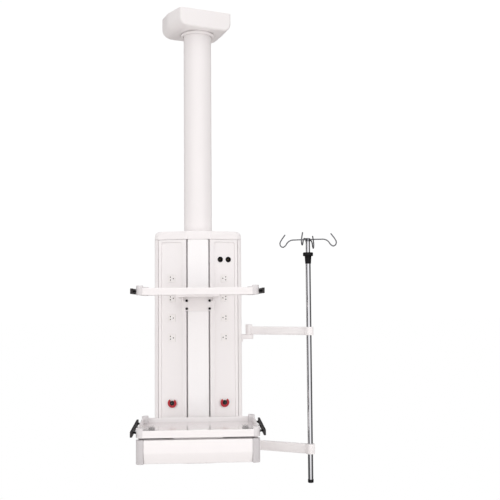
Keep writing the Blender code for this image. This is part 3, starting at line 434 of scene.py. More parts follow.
def face_frame(name, hand):
    """A flat frame: the grid runs from the back of its outer edge, over a small rounding, across the
    face to the window's rounded lip, and down the window's side to the back, and closes there."""
    left = -(PANEL_X - SLOT_OUTER) / math.cos(SLOPE) + 0.0002
    right = (SHELL_CORNER[0] - PANEL_X) / math.cos(SLOPE) - 0.0030
    if hand < 0:
        left, right = -right, -left
    x0, x1, z0, z1 = WINDOW
    inner = offset_outline(rectangle((x0, x1), (z0, z1)), 0.010, steps=10)
    outer = offset_outline(rectangle((left, right), (low.z + 0.0002, high.z - 0.0002)), 0.0015, steps=10)
    deep = SET_BACK
    lip = 0.0022
    rows = [(outer, 1.0, deep), (outer, 1.0, 0.0008), (outer, 0.9975, 0.0)]
    curve = np.radians(np.linspace(0, 90, 6))
    rows += [(inner, 1 + 0.04 * (1 - math.sin(a)), lip * (1 - math.cos(a))) for a in curve]
    rows += [(inner, 1.0, deep)]
    grid = []
    for outline, scale, depth in rows:
        centre = (outline.min(0) + outline.max(0)) / 2
        placed = centre + (outline - centre) * np.array([scale, 1 + (scale - 1) * 0.1])
        grid.append(np.column_stack([placed[:, 0], np.full(len(placed), depth), placed[:, 1]]))
    skin(name, to_face(np.stack(grid), hand), powder_white, "service_head", rows_close=True, sharp=40)


face_frame("left_face_frame", -1)
face_frame("right_face_frame", 1)

# ---------------------------------------------------------------- centre covers
# A gently crowned aluminium strip, front and back, that snaps over the spine between the slots.
# It has a smoother, glossier coat than the rest, so it carries long soft highlights.

gloss_white, tree, shader = blank_material("gloss_coat_white", "#FAF8F8", 0.22)
mottled(tree, shader, "#FCFAFA", "#F8F5F5", 4.0, 0.18, 0.26, 0.004, 1.0)
shader.inputs["Coat Weight"].default_value = 1.0
shader.inputs["Coat Roughness"].default_value = 0.08
shader.inputs["IOR"].default_value = 1.6

low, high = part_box("centre_cover")
half = high.x
share = np.linspace(-1, 1, 41)
arc = np.column_stack([share * (half - 0.0004), -(HEAD_DEPTH - 0.0035 + 0.0055 * (1 - share**2))])
back = np.array([(half, arc[-1, 1] + 0.0006), (half, high.y), (-half, high.y), (-half, arc[0, 1] + 0.0006)])
strip = np.concatenate([arc, back])
front_rows = section_along_z(strip, low.z, high.z)
skin("front_cover_strip", front_rows, gloss_white, "service_head", "centre_cover")
skin("rear_cover_strip", front_rows * np.array([-1, -1, 1]), gloss_white, "service_head", "rear_cover")

# ---------------------------------------------------------------- service panels and sockets
# A folded aluminium plate behind each window, coated off-white, and four moulded socket inserts in
# it. Each insert has a raised round dish; shutters close its three pin holes, coloured near black as painted
# shade for the holes' depth.

# Coated aluminium: flat off-white with a satin sheen.
panel_coat, tree, shader = blank_material("panel_coat_off_white", "#F6F2F2", 0.42)
mottled(tree, shader, "#F8F4F4", "#F3EFEF", 2.0, 0.38, 0.48, 0.008, 1.5)
# Injection-moulded white plastic: even, and a little glossier than the plate round it.
socket_plastic, tree, shader = blank_material("moulded_white_plastic", "#F6F2F1", 0.38)
mottled(tree, shader, "#F8F4F3", "#F3EFEE", 0.8, 0.34, 0.42, 0.003, 1.0)
# Dark moulded plastic, near black and dull: the rail end caps' own colour, and on the socket shutters and gas
# probe valves painted shade that makes the holes read as deep.
dark_plastic_and_hole_shade, tree, shader = blank_material("dark_plastic_and_painted_hole_shade", "#2A2526", 0.55)
mottled(tree, shader, "#2E292A", "#231F20", 0.8, 0.5, 0.6, 0.003)

# Turned profiles as radius and height in front of the insert's face, and the pins' places on it.
SHUTTER = [(0.0036, -0.0035), (0.0036, -0.0012), (0.0025, -0.0008), (0.001, -0.0010)]
BUSH = [(0.0042, -0.0006), (0.0042, 0.0002), (0.0037, 0.0005)]
BUSH += [(0.0031, 0.0003), (0.0031, -0.0010), (0.0036, -0.0010)]
DISH = [(0.0172, -0.0006), (0.0180, -0.0006), (0.0180, 0.0006), (0.0172, 0.0009), (0.0166, 0.0006)]
PINS = ((0.0070, 0.0072), (0.0070, -0.0072), (-0.0085, 0))
SOCKET_FACE = 0.0030
for hand, word in WORDS.items():
    keep_node(word + "_panel", panel_coat)
    for number in range(1, 5):
        node = f"socket_{word}_{number}"
        keep_node(node, socket_plastic)
        low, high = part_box(node)
        middle = (low.z + high.z) / 2
        for pin, (x, up) in enumerate(PINS, 1):
            place = (hand * x, SOCKET_FACE, middle + up)
            pin_hole = f"{word}_{number}_{pin}"
            # The shutters are near black: painted shade for the depth of each pin hole.
            lathe("shutter_" + pin_hole, SHUTTER, place, dark_plastic_and_hole_shade, "service_head", (), 24, face=hand)
            lathe("bush_" + pin_hole, BUSH, place, socket_plastic, "service_head", (), 24, True, hand)
        place = (0, SOCKET_FACE, middle)
        lathe(f"dish_{word}_{number}", DISH, place, socket_plastic, "service_head", (), 64, True, hand)

# ---------------------------------------------------------------- data outlets
# Two round black connectors high on the right panel: a moulded flange, a bore and a brass pin.

# Moulded black ABS: deep black, with a low sheen in place of mirror reflections.
black_plastic, tree, shader = blank_material("black_abs", "#0F0E10", 0.36)
mottled(tree, shader, "#131214", "#0C0B0D", 1.2, 0.32, 0.44, 0.006)
shader.inputs["Specular IOR Level"].default_value = 0.25
# Machined brass: a warm yellow metal with a soft shine.
brass, tree, shader = blank_material("machined_brass", "#B99A5B", 0.28, 1.0)
mottled(tree, shader, "#C0A163", "#A98B4F", 0.8, 0.24, 0.34, 0.002)

DATA_Z = (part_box("data_outlet_1")[0].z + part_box("data_outlet_1")[1].z) / 2
PANEL_FACE = 0.0045
connector = [
    (0.0079, -0.0100),
    (0.0079, 0.0022),
    (0.0086, 0.0034),
    (0.0118, 0.0034),
    (0.0134, 0.0028),
    (0.0142, 0.0014),
    (0.0142, 0.0002),
    (0.0099, 0.0002),
    (0.0099, -0.0160),
]
for number, x in ((1, -0.0215), (2, 0.0215)):
    place = (x, PANEL_FACE, DATA_Z)
    name = f"data_connector_{number}"
    lathe(name, connector, place, black_plastic, "service_head", f"data_outlet_{number}", 64, face=1)
    pin = [(0.0018, -0.0098), (0.0018, -0.0010), (0.0010, 0.0002)]
    lathe(f"data_pin_{number}", pin, place, brass, "service_head", (), 24, face=1)
    seat = [(0.0078, -0.0099), (0.0078, -0.0092), (0.0019, -0.0092)]
    lathe(f"data_insert_{number}", seat, place, black_plastic, "service_head", (), 48, face=1)

# ---------------------------------------------------------------- gas outlets
# A black connector body with a chromed probe bore, and round its neck a moulded red release ring,
# open at the top, that is pushed in against a spring. Rubber hoses run up inside the column.

# Moulded red plastic: an even, strong red with a soft shine.
red_plastic, tree, shader = blank_material("red_moulded_plastic", "#C4202F", 0.30)
mottled(tree, shader, "#BA2433", "#A61B28", 1.5, 0.26, 0.36, 0.004)
# Extruded rubber: dark grey and dull.
hose_rubber, tree, shader = blank_material("hose_rubber", "#2B2B2D", 0.62)
mottled(tree, shader, "#303032", "#252527", 1.0, 0.55, 0.70, 0.010)
# Chrome plate on steel: a near-white mirror, hardly clouded.
chrome, tree, shader = blank_material("chrome_plate", "#D9DADC", 0.09, 1.0)
mottled(tree, shader, "#DCDDDF", "#D2D3D6", 6.0, 0.07, 0.12, 0.001, 1.0)

GAS_Z = (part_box("gas_outlet_left")[0].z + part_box("gas_outlet_left")[1].z) / 2
body_profile = [
    (0.0052, -0.0100),
    (0.0052, 0.0098),
    (0.0058, 0.0105),
    (0.0102, 0.0105),
    (0.0112, 0.0094),
    (0.0112, -0.0250),
]
RING_OUTER, RING_INNER, RING_STANDS, RING_GAP = 0.0232, 0.0118, 0.0080, math.radians(76)
flange_profile = [(0.0114, 0.0003), (0.0215, 0.0003), (0.0215, 0.0010), (0.0209, 0.0015), (0.0114, 0.0015)]
for hand, word in WORDS.items():
    x = -hand * 0.0035
    place = (x, PANEL_FACE, GAS_Z)
    node = "gas_outlet_" + word
    lathe("gas_connector_" + word, body_profile, place, black_plastic, "service_head", node, 64, face=hand)
    lathe("wall_flange_" + word, flange_profile, place, socket_plastic, "service_head", (), 64, True, hand)
    lip = [(0.0042, 0.0060), (0.0051, 0.0060), (0.0051, 0.0098), (0.0047, 0.0102), (0.0042, 0.0098)]
    lathe("probe_bore_" + word, lip, place, chrome, "service_head", (), 48, True, hand)
    # The valve deep in the probe bore is near black: painted shade for the bore's depth.
    end = [(0.0051, -0.0099), (0.0051, 0.0040), (0.0010, 0.0035)]
    lathe("probe_valve_" + word, end, place, dark_plastic_and_hole_shade, "service_head", (), 48, face=hand)
    angle = math.pi / 2 + RING_GAP / 2 + np.linspace(0, 2 * math.pi - RING_GAP, 73)
    across = (RING_OUTER - RING_INNER) / 2
    mid_radius = (RING_OUTER + RING_INNER) / 2
    section = rounded_outline(rectangle((-across, across), (-0.002, 0.002)), 0.0013, 6)
    radial = mid_radius + np.tile(section[:, 0], (73, 1))
    grid = np.stack(
        [
            x + radial * np.cos(angle)[:, None],
            PANEL_FACE - RING_STANDS - np.broadcast_to(section[None, :, 1], radial.shape),
            GAS_Z + radial * np.sin(angle)[:, None],
        ],
        -1,
    )
    ring = "gas_ring_" + word
    skin("release_ring_" + word, to_face(grid, hand), red_plastic, ring, ring, sharp=50)
    keep_node("gas_hose_" + word, hose_rubber)

# ---------------------------------------------------------------- shelf and tray rims
# An aluminium profile with three fine grooves, mitred into a frame and powder coated. Moulded grey
# caps stand up at its corners, and a glossy sheet lies on its inner ledge.

FRONT = np.array([[1.0, 0, 0], [0, 0, 1], [0, -1, 0]])
RIGHT = np.array([[0, 1.0, 0], [0, 0, 1], [1, 0, 0]])
LEFT = np.array([[0, 1.0, 0], [0, 0, 1], [-1, 0, 0]])


def slab(
    name, corners, radii, low, high, edge, material, body, node=(), aim=None, steps=6, sharp=35, place=None
):
    """A plate with a rounded outline and edges: at the angle a round its edge the outline is set in by
    edge (1 - sin a) and lies edge (1 - cos a) in from the face. aim's rows say where its axes point."""
    angle = np.radians(np.linspace(0, 90, 5))
    inset = edge * (1 - np.sin(angle))
    depth = edge * (1 - np.cos(angle))
    levels = np.concatenate([low + depth, high - depth[::-1]])
    insets = np.concatenate([inset, inset[::-1]])
    rows = [offset_outline(corners, radii, i, steps) for i in insets]
    grid = np.stack([np.column_stack([row, np.full(len(row), z)]) for row, z in zip(rows, levels)])
    if aim is not None:
        grid = grid @ aim
    if place is not None:
        grid = place(grid)
    skin(name, grid, material, body, node, sharp=sharp)


def rim(name, x, y, radius, profile, material, body, node=()):
    """Carries a closed profile of (inset, height) points round a rounded rectangle: each point traces
    the rectangle set in by its inset."""
    rows = [offset_outline(rectangle(x, y), radius, inset, 10) for inset, z in profile]
    heights = [np.full(len(rows[0]), z) for inset, z in profile]
    grid = np.stack([np.column_stack([row, z]) for row, z in zip(rows, heights)])
    skin(name, grid, material, body, node, rows_close=True, sharp=30)


# Light grey injection-moulded ABS: even, with a very fine spark-eroded texture and a low sheen.
grey_abs, tree, shader = blank_material("light_grey_abs", "#D2CECF", 0.42)
mottled(tree, shader, "#CFCBCC", "#C5C1C3", 1.0, 0.38, 0.48, 0.006, 2.0)
# The corner mouldings of the frames are the same ABS in a paler shade.
pale_abs, tree, shader = blank_material("pale_grey_abs", "#DEDADB", 0.40)
mottled(tree, shader, "#E1DDDE", "#DAD6D7", 1.0, 0.36, 0.46, 0.006, 2.0)
# Sheet with a silver gloss lacquer, part mirror and part pale paint: the column stands reflected in it.
lacquered_sheet, tree, shader = blank_material("silver_gloss_lacquer_sheet", "#EFEBEB", 0.14, 0.65)
mottled(tree, shader, "#F2EEEE", "#EAE6E6", 12.0, 0.11, 0.18, 0.002, 1.5)

GROOVES = (-0.0212, -0.0152, -0.0092)
FRAME_FRONT, FRAME_BACK, FRAME_HALF = -0.570, -0.170, 0.275
CARRIERS = {"shelf": ("shelf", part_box("shelf_deck")[1].z), "tray": ("service_head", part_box("tray_deck")[1].z)}
DECK_BELOW_RIM = 0.0227
CORNER_SIDE, CORNER_PROUD = 0.031, 0.0006
for word, (body, deck_top) in CARRIERS.items():
    top = deck_top + DECK_BELOW_RIM
    profile = [(0.0008, -0.032), (0.0, -0.0312)]
    for groove in GROOVES:
        profile += [(0.0, groove), (0.0007, groove + 0.0003)]
        profile += [(0.0007, groove + 0.0013), (0.0, groove + 0.0016)]
    profile += [(0.0, -0.0015), (0.0004, -0.0004), (0.0015, 0.0)]
    profile += [(0.0065, 0.0), (0.0076, -0.0004), (0.0080, -0.0015)]
    profile += [(0.0080, -0.026), (0.0220, -0.026), (0.0220, -0.0315), (0.0214, -0.032)]
    placed = [(inset, z + top) for inset, z in profile]
    x = (-FRAME_HALF, FRAME_HALF)
    y = (FRAME_FRONT, FRAME_BACK)
    rim(word + "_rim_profile", x, y, 0.022, placed, powder_white, body, word + "_frame")
    for hand, side_word in WORDS.items():
        for step, end, frame_y in ((1, "front", FRAME_FRONT), (-1, "back", FRAME_BACK)):
            x = np.array([0, -CORNER_SIDE, -CORNER_SIDE, 0]) + FRAME_HALF + CORNER_PROUD
            y = np.array([0, 0, CORNER_SIDE, CORNER_SIDE]) - CORNER_PROUD
            block = np.column_stack([hand * x, frame_y + step * y])
            slab(
                f"{word}_corner_{side_word}_{end}",
                block,
                [0.0225, 0.003, 0.003, 0.003],
                top - 0.0328,
                top + 0.011,
                0.0028,
                pale_abs,
                body,
            )
    keep_node(word + "_deck", lacquered_sheet)

# ---------------------------------------------------------------- equipment rails
# A standard 10 x 25 mm rail along each side of the shelf and the tray, black coated, on three turned
# stand-offs that are screwed through the rim, with a moulded cap on each end.

STANDOFF_Y = (-0.520, -0.390, -0.260)
for word, (body, deck_top) in CARRIERS.items():
    for hand, side_word in WORDS.items():
        node = f"{word}_rail_{side_word}"
        low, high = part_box(node)
        face = max(abs(low.x), abs(high.x))
        aim = RIGHT if hand > 0 else LEFT
        bar = rectangle((low.y + 0.003, high.y - 0.003), (low.z, high.z))
        slab(node + "_bar", bar, 0.0006, face - 0.010, face, 0.0012, black_plastic, body, node, aim)
        for end, y in (("front", (low.y, low.y + 0.0032)), ("back", (high.y - 0.0032, high.y))):
            cap = rectangle(y, (low.z, high.z))
            slab(f"{node}_cap_{end}", cap, 0.0012, face - 0.010, face, 0.0014, dark_plastic_and_hole_shade, body, (), aim)
        middle = (low.z + high.z) / 2
        foot = [
            (0.0060, FRAME_HALF + 0.0003),
            (0.0060, FRAME_HALF + 0.0040),
            (0.0048, FRAME_HALF + 0.0050),
            (0.0048, face - 0.0120),
            (0.0060, face - 0.0110),
            (0.0060, face - 0.0098),
        ]
        for number, y in enumerate(STANDOFF_Y):
            ring = np.linspace(0, 2 * math.pi, 32, endpoint=False)
            radius, level = (np.array(part)[:, None] + np.zeros(32) for part in zip(*foot))
            grid = np.stack([radius * np.cos(ring), radius * np.sin(ring), level], -1)
            grid = grid @ aim + np.array([0, y, middle])
            skin(f"{node}_standoff_{number + 1}", grid, black_plastic, body)

# ---------------------------------------------------------------- bracket plates
# Laser-cut steel, powder coated. The shelf's plate flares out under the shelf and is clamped to the
# column by four black socket-head screws in the slots; the tray's is bolted on for good.

low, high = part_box("shelf_bracket")
plate_front = -0.1315
plate_back = high.y
foot_top = high.z
half = [(0.0815, low.z), (0.0815, -1.512), (0.0855, -1.492), (0.1025, -1.479), (0.1025, foot_top - 0.0003)]
plate = half + [(-x, z) for x, z in reversed(half)]
plate_radii = [0.004, 0.020, 0.014, 0.003, 0.001]
plate_radii += plate_radii[::-1]
slab(
    "shelf_clamp_plate",
    plate,
    plate_radii,
    -plate_back,
    -plate_front,
    0.0010,
    powder_white,
    "shelf",
    "shelf_bracket",
    FRONT,
)
foot = rectangle((-0.1025, 0.1025), (low.y, plate_front - 0.0002))
slab("shelf_foot_plate", foot, 0.006, foot_top - 0.008, foot_top, 0.0012, powder_white, "shelf")
for hand, word in WORDS.items():
    under_foot = foot_top - 0.0083
    gusset = [(plate_front - 0.0001, under_foot), (plate_front - 0.0001, -1.500), (-0.300, under_foot)]
    inner = 0.074
    slab(
        "shelf_gusset_" + word,
        gusset,
        [0.0004, 0.004, 0.004],
        inner,
        inner + 0.004,
        0.0006,
        powder_white,
        "shelf",
        (),
        RIGHT if hand > 0 else LEFT,
    )
keep_node("tray_bracket", powder_white)

# Black oxide on steel: a near-black metal with a soft shine.
black_oxide, tree, shader = blank_material("black_oxide_steel", "#2B292A", 0.34, 0.8)
mottled(tree, shader, "#333132", "#242223", 1.0, 0.30, 0.45, 0.004)
for number in range(1, 5):
    node = f"clamp_screw_{number}"
    low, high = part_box(node)
    ring = np.linspace(0, 2 * math.pi, 48, endpoint=False)
    flats = 0.0027 / np.cos((ring + math.pi / 6) % (math.pi / 3) - math.pi / 6)
    round_rows = [(0.0029, -0.0300), (0.0030, -0.0290), (0.0030, 0.0003), (0.0066, 0.0003), (0.0066, 0.0030)]
    round_rows += [(0.0062, 0.0037), (0.0054, 0.0040), (0.0035, 0.0040)]
    radius = np.array([np.full(48, r) for r, z in round_rows] + [flats + 0.0003, flats, flats, flats * 0.02])
    level = np.array([z for r, z in round_rows] + [0.0040, 0.0036, 0.0014, 0.0008])[:, None] + np.zeros(48)
    grid = np.stack([radius * np.cos(ring), radius * np.sin(ring), level], -1) @ FRONT
    grid = grid + np.array([(low.x + high.x) / 2, plate_front, (low.z + high.z) / 2])
    skin(f"cap_screw_{number}", grid, black_oxide, "shelf", node, sharp=30)

# ---------------------------------------------------------------- drawer unit
# A folded sheet housing under the tray, with ball slides inside its walls. Moulded grey posts close
# its front corners, and the moulded drawer front tucks in below its crease for the fingers.

keep_node("drawer_housing", powder_white)
for word in WORDS.values():
    keep_node("slide_middle_" + word, zinc_plate, 0.4)
    node = "drawer_post_" + word
    low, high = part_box(node)
    hand = 1 if word == "right" else -1
    inner_x, outer_x = sorted((abs(low.x), abs(high.x)))
    inside, outside = hand * inner_x, hand * outer_x
    post = [(inside, high.y), (inside, low.y), (outside, low.y), (outside, high.y)]
    radii = [0.001, 0.003, 0.020, 0.001]
    slab(node + "_moulding", post, radii, low.z, high.z, 0.0012, grey_abs, "service_head", node)
keep_node("drawer_box", panel_coat)

low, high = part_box("drawer_front")
crease = -2.1675
section = [(high.y, high.z), (high.y, low.z), (low.y + 0.010, low.z)]
section += [(low.y + 0.0008, crease - 0.0040), (low.y, crease + 0.0010), (low.y, high.z)]
slab(
    "drawer_front_moulding",
    section,
    [0.001, 0.001, 0.004, 0.006, 0.001, 0.003],
    low.x,
    high.x,
    0.0022,
    powder_white,
    "drawer",
    "drawer_front",
    RIGHT,
)

# ---------------------------------------------------------------- arms
# Two flat white arms swing on steel pins in lugs at the column's side. Each is a welded bar with a
# sleeve on the pin and a boss that grips the pole.

PIVOT = np.array([0.262, 0.0])
POLE = np.array([0.554, -0.159])
REACH = float(np.linalg.norm(POLE - PIVOT))
swing = (POLE - PIVOT) / REACH


def along_arm(points):
    """From the arm's own frame, X along it from the pivot, to its place."""
    x = PIVOT[0] + points[..., 0] * swing[0] - points[..., 1] * swing[1]
    y = PIVOT[1] + points[..., 0] * swing[1] + points[..., 1] * swing[0]
    return np.stack([x, y, points[..., 2]], -1)


ARMS = {"upper": (-1.6727, -1.632, -1.6215), "lower": (-2.2590, -2.2110, -2.2070)}
for word, (bottom, top, sleeve_top) in ARMS.items():
    node = "arm_" + word
    bar = rectangle((0.0150, REACH - 0.0190), (-0.011, 0.011))
    slab(node + "_bar", bar, 0.0004, bottom, top, 0.0055, powder_white, "iv_arm", node, place=along_arm)
    sleeve = [(0.0083, sleeve_top), (0.0175, sleeve_top), (0.0175, bottom), (0.0083, bottom)]
    lathe(f"{node}_sleeve", sleeve, (*PIVOT, 0), powder_white, "iv_arm", (), 64, True, round_mm=1.6)
    boss_top, boss_bottom = top + 0.0002, bottom - 0.0002
    boss = [(0.0130, boss_top), (0.0225, boss_top), (0.0225, boss_bottom), (0.0130, boss_bottom)]
    lathe(f"{node}_boss", boss, (*POLE, 0), powder_white, "iv_arm", (), 72, True, round_mm=2.4)
    node = "pole_lug_" + word
    low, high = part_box(node)
    lug_top = bottom - 0.0003
    tab = [(low.x, -0.022), (PIVOT[0] + 0.022, -0.022), (PIVOT[0] + 0.022, 0.022), (low.x, 0.022)]
    radii = [0.0003, 0.0219, 0.0219, 0.0003]
    low_tab = lug_top - 0.023
    slab(node + "_tab", tab, radii, low_tab, lug_top, 0.0015, powder_white, "service_head", node, steps=16)
    plate = rectangle((-0.034, 0.034), (low.z, lug_top - 0.002))
    slab(node + "_plate", plate, 0.005, low.x, low.x + 0.006, 0.0010, powder_white, "service_head", (), RIGHT)
    pin = [(0.0080, lug_top - 0.0010), (0.0080, high.z - 0.0008), (0.0072, high.z)]
    lathe(node + "_pin", pin, (*PIVOT, 0), zinc_plate, "service_head", (), 48)

# ---------------------------------------------------------------- IV pole
# Two chromed steel tubes, one sliding in the other, held by a moulded twist lock. A black cap closes
# the foot. The hook head is four bent stainless rods welded to a hub.

low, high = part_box("pole_outer")
tube_profile = [(0.0113, high.z), (0.0127, high.z), (0.0127, low.z), (0.0113, low.z)]
FOOT = (*POLE, 0)
lathe("pole_outer_tube", tube_profile, FOOT, chrome, "iv_arm", "pole_outer", 64, True, round_mm=0.3)
low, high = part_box("pole_inner_tube")
tube_profile = [(0.0098, high.z), (0.0110, high.z), (0.0110, low.z), (0.0098, low.z)]
lathe("pole_inner_drawn", tube_profile, FOOT, chrome, "pole_inner", "pole_inner_tube", 64, True, round_mm=0.3)

low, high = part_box("pole_foot_cap")
cap = [(0.0129, high.z), (0.0138, high.z), (0.0142, high.z - 0.0006), (0.0142, low.z + 0.0040)]
turn_in = np.radians(np.linspace(0, 90, 6))
cap += [(0.0112 + 0.0030 * math.cos(a), low.z + 0.0030 - 0.0030 * math.sin(a)) for a in turn_in]
cap += [(0.0010, low.z + 0.0002), (0.0010, low.z + 0.0018), (0.0129, low.z + 0.0018)]
lathe("foot_cap_moulding", cap, FOOT, black_plastic, "iv_arm", "pole_foot_cap", 64, True)

low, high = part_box("lock_collar")
sides = 192
ring = np.linspace(0, 2 * math.pi, sides, endpoint=False)
ribs = 0.5 + 0.5 * np.cos(ring * 32)
lock_rows = [
    (0.0113, high.z, 0),
    (0.0228, high.z, 0),
    (0.0240, high.z - 0.0004, 0),
    (0.0250, high.z - 0.0014, 0.5),
    (0.0255, high.z - 0.0028, 1),
    (0.0255, high.z - 0.0145, 1),
    (0.0250, high.z - 0.0168, 0.5),
    (0.0238, high.z - 0.0180, 0),
    (0.0178, high.z - 0.0186, 0),
    (0.0170, high.z - 0.0205, 0.6),
    (0.0147, low.z + 0.0020, 0.6),
    (0.0141, low.z + 0.0004, 0),
    (0.0136, low.z, 0),
    (0.0130, low.z, 0),
    (0.0130, high.z - 0.0042, 0),
    (0.0113, high.z - 0.0042, 0),
]
radius, level, ribbed = (np.array(part)[:, None] for part in zip(*lock_rows))
radius = radius - 0.0009 * ribbed * ribs
grid = np.stack([radius * np.cos(ring) + POLE[0], radius * np.sin(ring) + POLE[1], level + 0 * radius], -1)
skin("twist_lock", grid, black_plastic, "lock_collar", "lock_collar", rows_close=True, sharp=40)


def smooth_line(points, steps=10):
    """A curve through the points: between the middle two of four points in a row it is the Catmull-Rom
    cubic, with the end points doubled."""
    stop = np.asarray(points, float)
    stop = np.concatenate([stop[:1], stop, stop[-1:]])
    a, b, c, d = (stop[i : len(stop) - 3 + i, None, :] for i in range(4))
    t = np.linspace(0, 1, steps, endpoint=False)[None, :, None]
    line = 0.5 * (2 * b + (c - a) * t + (2 * a - 5 * b + 4 * c - d) * t**2 + (3 * b - a - 3 * c + d) * t**3)
    return np.concatenate([line.reshape(-1, stop.shape[1]), stop[-1:]])


# Drawn stainless rod, coloured much darker than the steel itself: the dark tone is painted shade for the dark
# reflections the thin rods show.
rod_steel_with_painted_shade, tree, shader = blank_material("stainless_rod_with_painted_shade", "#85868A", 0.16, 1.0)
mottled(tree, shader, "#8B8C90", "#7E7F83", 4.0, 0.13, 0.20, 0.001, 1.0)

low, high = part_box("hook_head")
hook_level = low.z + 0.0386
hook = smooth_line(
    [
        (0.004, 0.0),
        (0.030, 0.0004),
        (0.060, 0.0002),
        (0.086, -0.001),
        (0.104, -0.011),
        (0.117, -0.028),
        (0.130, -0.0355),
        (0.1416, -0.029),
        (0.1450, -0.014),
        (0.135, 0.005),
        (0.119, 0.026),
    ]
)
rod = 0.0031
ahead = np.gradient(hook, axis=0)
ahead /= np.linalg.norm(ahead, axis=1, keepdims=True)
tip = np.radians(np.linspace(15, 90, 6))
path = np.concatenate([hook, hook[-1] + rod * np.sin(tip)[:, None] * ahead[-1]])
ahead = np.concatenate([ahead, np.tile(ahead[-1], (6, 1))])
thick = np.concatenate([np.full(len(hook), rod), rod * np.cos(tip) + 0.00001])
ring = np.linspace(0, 2 * math.pi, 20, endpoint=False)
sideways = ahead[:, ::-1] * [-1, 1]
in_plane = path[:, None, :] + thick[:, None, None] * np.cos(ring)[None, :, None] * sideways[:, None, :]
across = thick[:, None] * np.sin(ring)[None, :]
for number in range(4):
    turn = math.radians(-20) + number * math.pi / 2
    x = POLE[0] + in_plane[..., 0] * math.cos(turn) - across * math.sin(turn)
    y = POLE[1] + in_plane[..., 0] * math.sin(turn) + across * math.cos(turn)
    grid = np.stack([x, y, in_plane[..., 1] + hook_level], -1)
    skin(f"hook_rod_{number + 1}", grid, rod_steel_with_painted_shade, "hook_head", () if number else "hook_head")
hub = [
    (0.0130, hook_level - 0.0090),
    (0.0130, hook_level + 0.0040),
    (0.0122, hook_level + 0.0058),
    (0.0100, hook_level + 0.0072),
    (0.0050, hook_level + 0.0079),
    (0.0008, hook_level + 0.0080),
]
lathe("hook_hub", hub, FOOT, rod_steel_with_painted_shade, "hook_head", (), 48)

# ---------------------------------------------------------------- studio
# A plain pale floor three metres below the ceiling, a white surround, and four large soft lights: at
# the front left, the front right, above and behind. The floor shows pure white, metal sees the room
# instead of it, and its underside is clear, so the object can be seen from below.

floor_paint, tree, shader = blank_material("pale_floor", "#DAD7D5", 0.7)
bright = add_node(tree, "ShaderNodeEmission", Color=linear("#FFFFFF"), Strength=1.0)
clear = add_node(tree, "ShaderNodeBsdfTransparent")
ray = add_node(tree, "ShaderNodeLightPath").outputs
under = add_node(tree, "ShaderNodeNewGeometry").outputs["Backfacing"]
links = [(ray["Is Glossy Ray"], 0), (shader.outputs[0], 1), (clear.outputs[0], 2)]
matt = add_node(tree, "ShaderNodeMixShader", links)
links = [(ray["Is Camera Ray"], 0), (matt.outputs[0], 1), (bright.outputs[0], 2)]
upper = add_node(tree, "ShaderNodeMixShader", links)
sheet = add_node(tree, "ShaderNodeMixShader", [(under, 0), (upper.outputs[0], 1), (clear.outputs[0], 2)])
tree.links.new(sheet.outputs[0], tree.nodes["Material Output"].inputs["Surface"])
FLOOR_Z = -3.0
FLOOR_HALF = 60
floor_mesh = bpy.data.meshes.new("studio_floor")
corners = rectangle((-FLOOR_HALF, FLOOR_HALF), (-FLOOR_HALF, FLOOR_HALF))
floor_mesh.from_pydata([(x, y, FLOOR_Z) for x, y in corners], [], [(0, 1, 2, 3)])
floor = bpy.data.objects.new("studio_floor", floor_mesh)
bpy.context.scene.collection.objects.link(floor)
coat(floor, floor_paint)

world = bpy.data.worlds.new("white_surround")
world.use_nodes = True
bpy.context.scene.world = world
tree = world.node_tree
seen = tree.nodes["Background"]
seen.inputs["Color"].default_value = linear("#FFFFFF")
seen.inputs["Strength"].default_value = 1.02

# The room as metal and gloss see it: a white wall behind the camera, a grey ceiling, the rest dim.
place = add_node(tree, "ShaderNodeTexCoord")
ahead = add_node(tree, "ShaderNodeVectorMath", [(place.outputs["Generated"], 0)], operation="DOT_PRODUCT")
ahead.inputs[1].default_value = (0.0, -0.99, 0.12)
split = add_node(tree, "ShaderNodeSeparateXYZ", [(place.outputs["Generated"], 0)])
glow = []
wall = (ahead.outputs["Value"], 0.60, 0.90, 0.12, 1.35)
ceiling = (split.outputs["Z"], 0.32, 0.75, 0.0, 0.50)
for facing, start, end, dim, full in (wall, ceiling):
    levels = add_node(tree, "ShaderNodeMapRange", [(facing, "Value")], interpolation_type="SMOOTHSTEP")
    levels.inputs["From Min"].default_value = start
    levels.inputs["From Max"].default_value = end
    levels.inputs["To Min"].default_value = dim
    levels.inputs["To Max"].default_value = full
    glow.append(levels.outputs["Result"])
both = add_node(tree, "ShaderNodeMath", [(glow[0], 0), (glow[1], 1)], operation="ADD")
room = add_node(tree, "ShaderNodeBackground", [(both.outputs[0], "Strength")], Color=linear("#FDFBFC"))
fill = add_node(tree, "ShaderNodeBackground", Color=linear("#FDFCFC"), Strength=0.88)
ray = add_node(tree, "ShaderNodeLightPath").outputs
links = [(ray["Is Glossy Ray"], 0), (fill.outputs[0], 1), (room.outputs[0], 2)]
unseen = add_node(tree, "ShaderNodeMixShader", links)
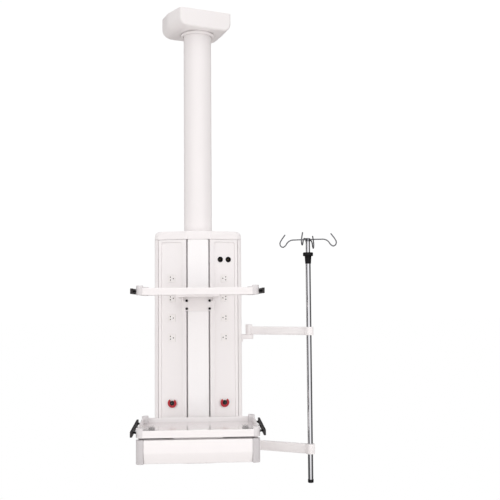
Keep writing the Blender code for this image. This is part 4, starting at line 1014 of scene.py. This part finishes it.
links = [(ray["Is Camera Ray"], 0), (unseen.outputs[0], 1), (seen.outputs[0], 2)]
surround = add_node(tree, "ShaderNodeMixShader", links)
tree.links.new(surround.outputs[0], tree.nodes["World Output"].inputs["Surface"])


def soft_light(name, place, target, size, watts):
    """A rectangular area light, size across and high, that faces its target."""
    data = bpy.data.lights.new(name, "AREA")
    data.shape = "RECTANGLE"
    data.size, data.size_y = size
    data.energy = watts
    lamp = bpy.data.objects.new(name, data)
    bpy.context.scene.collection.objects.link(lamp)
    away = np.asarray(place, float) - np.asarray(target, float)
    away /= np.linalg.norm(away)
    right = np.cross([0, 0, 1], away)
    right /= np.linalg.norm(right)
    turn = np.eye(4)
    turn[:3] = np.column_stack([right, np.cross(away, right), away, place])
    lamp.matrix_world = Matrix(turn.tolist())
    lamp.visible_glossy = False


soft_light("key", (-2.4, -2.4, -1.7), (0.05, -0.1, -1.6), (1.4, 2.2), 22)
soft_light("right_fill", (2.4, -2.2, -1.7), (0.15, -0.1, -1.8), (1.2, 1.6), 20)
soft_light("top_fill", (0.3, -1.8, 2.2), (0.1, -0.2, -1.6), (1.6, 1.6), 14)
soft_light("back_fill", (0.6, 4.6, 0.4), (0.1, 0.0, -1.4), (2.4, 2.4), 30)

yaw, pitch, roll = 0.0621, 0.0644, -0.0078
level = math.cos(pitch)
forward = np.array([math.sin(yaw) * level, math.cos(yaw) * level, math.sin(pitch)])
right = np.array([math.cos(yaw), -math.sin(yaw), 0.0])
up = np.cross(right, forward)
turn = np.eye(4)
turn[:3, 0] = math.cos(roll) * right + math.sin(roll) * up
turn[:3, 1] = -math.sin(roll) * right + math.cos(roll) * up
turn[:3, 2] = -forward
turn[:3, 3] = (0.0154, -4.1086, -1.4996)
camera_data = bpy.data.cameras.new("camera")
camera_data.sensor_width = 36
camera_data.lens = 56.8
camera = bpy.data.objects.new("camera", camera_data)
camera.matrix_world = Matrix(turn.tolist())
bpy.context.scene.collection.objects.link(camera)
bpy.context.scene.camera = camera
bpy.context.scene.view_settings.view_transform = "Standard"
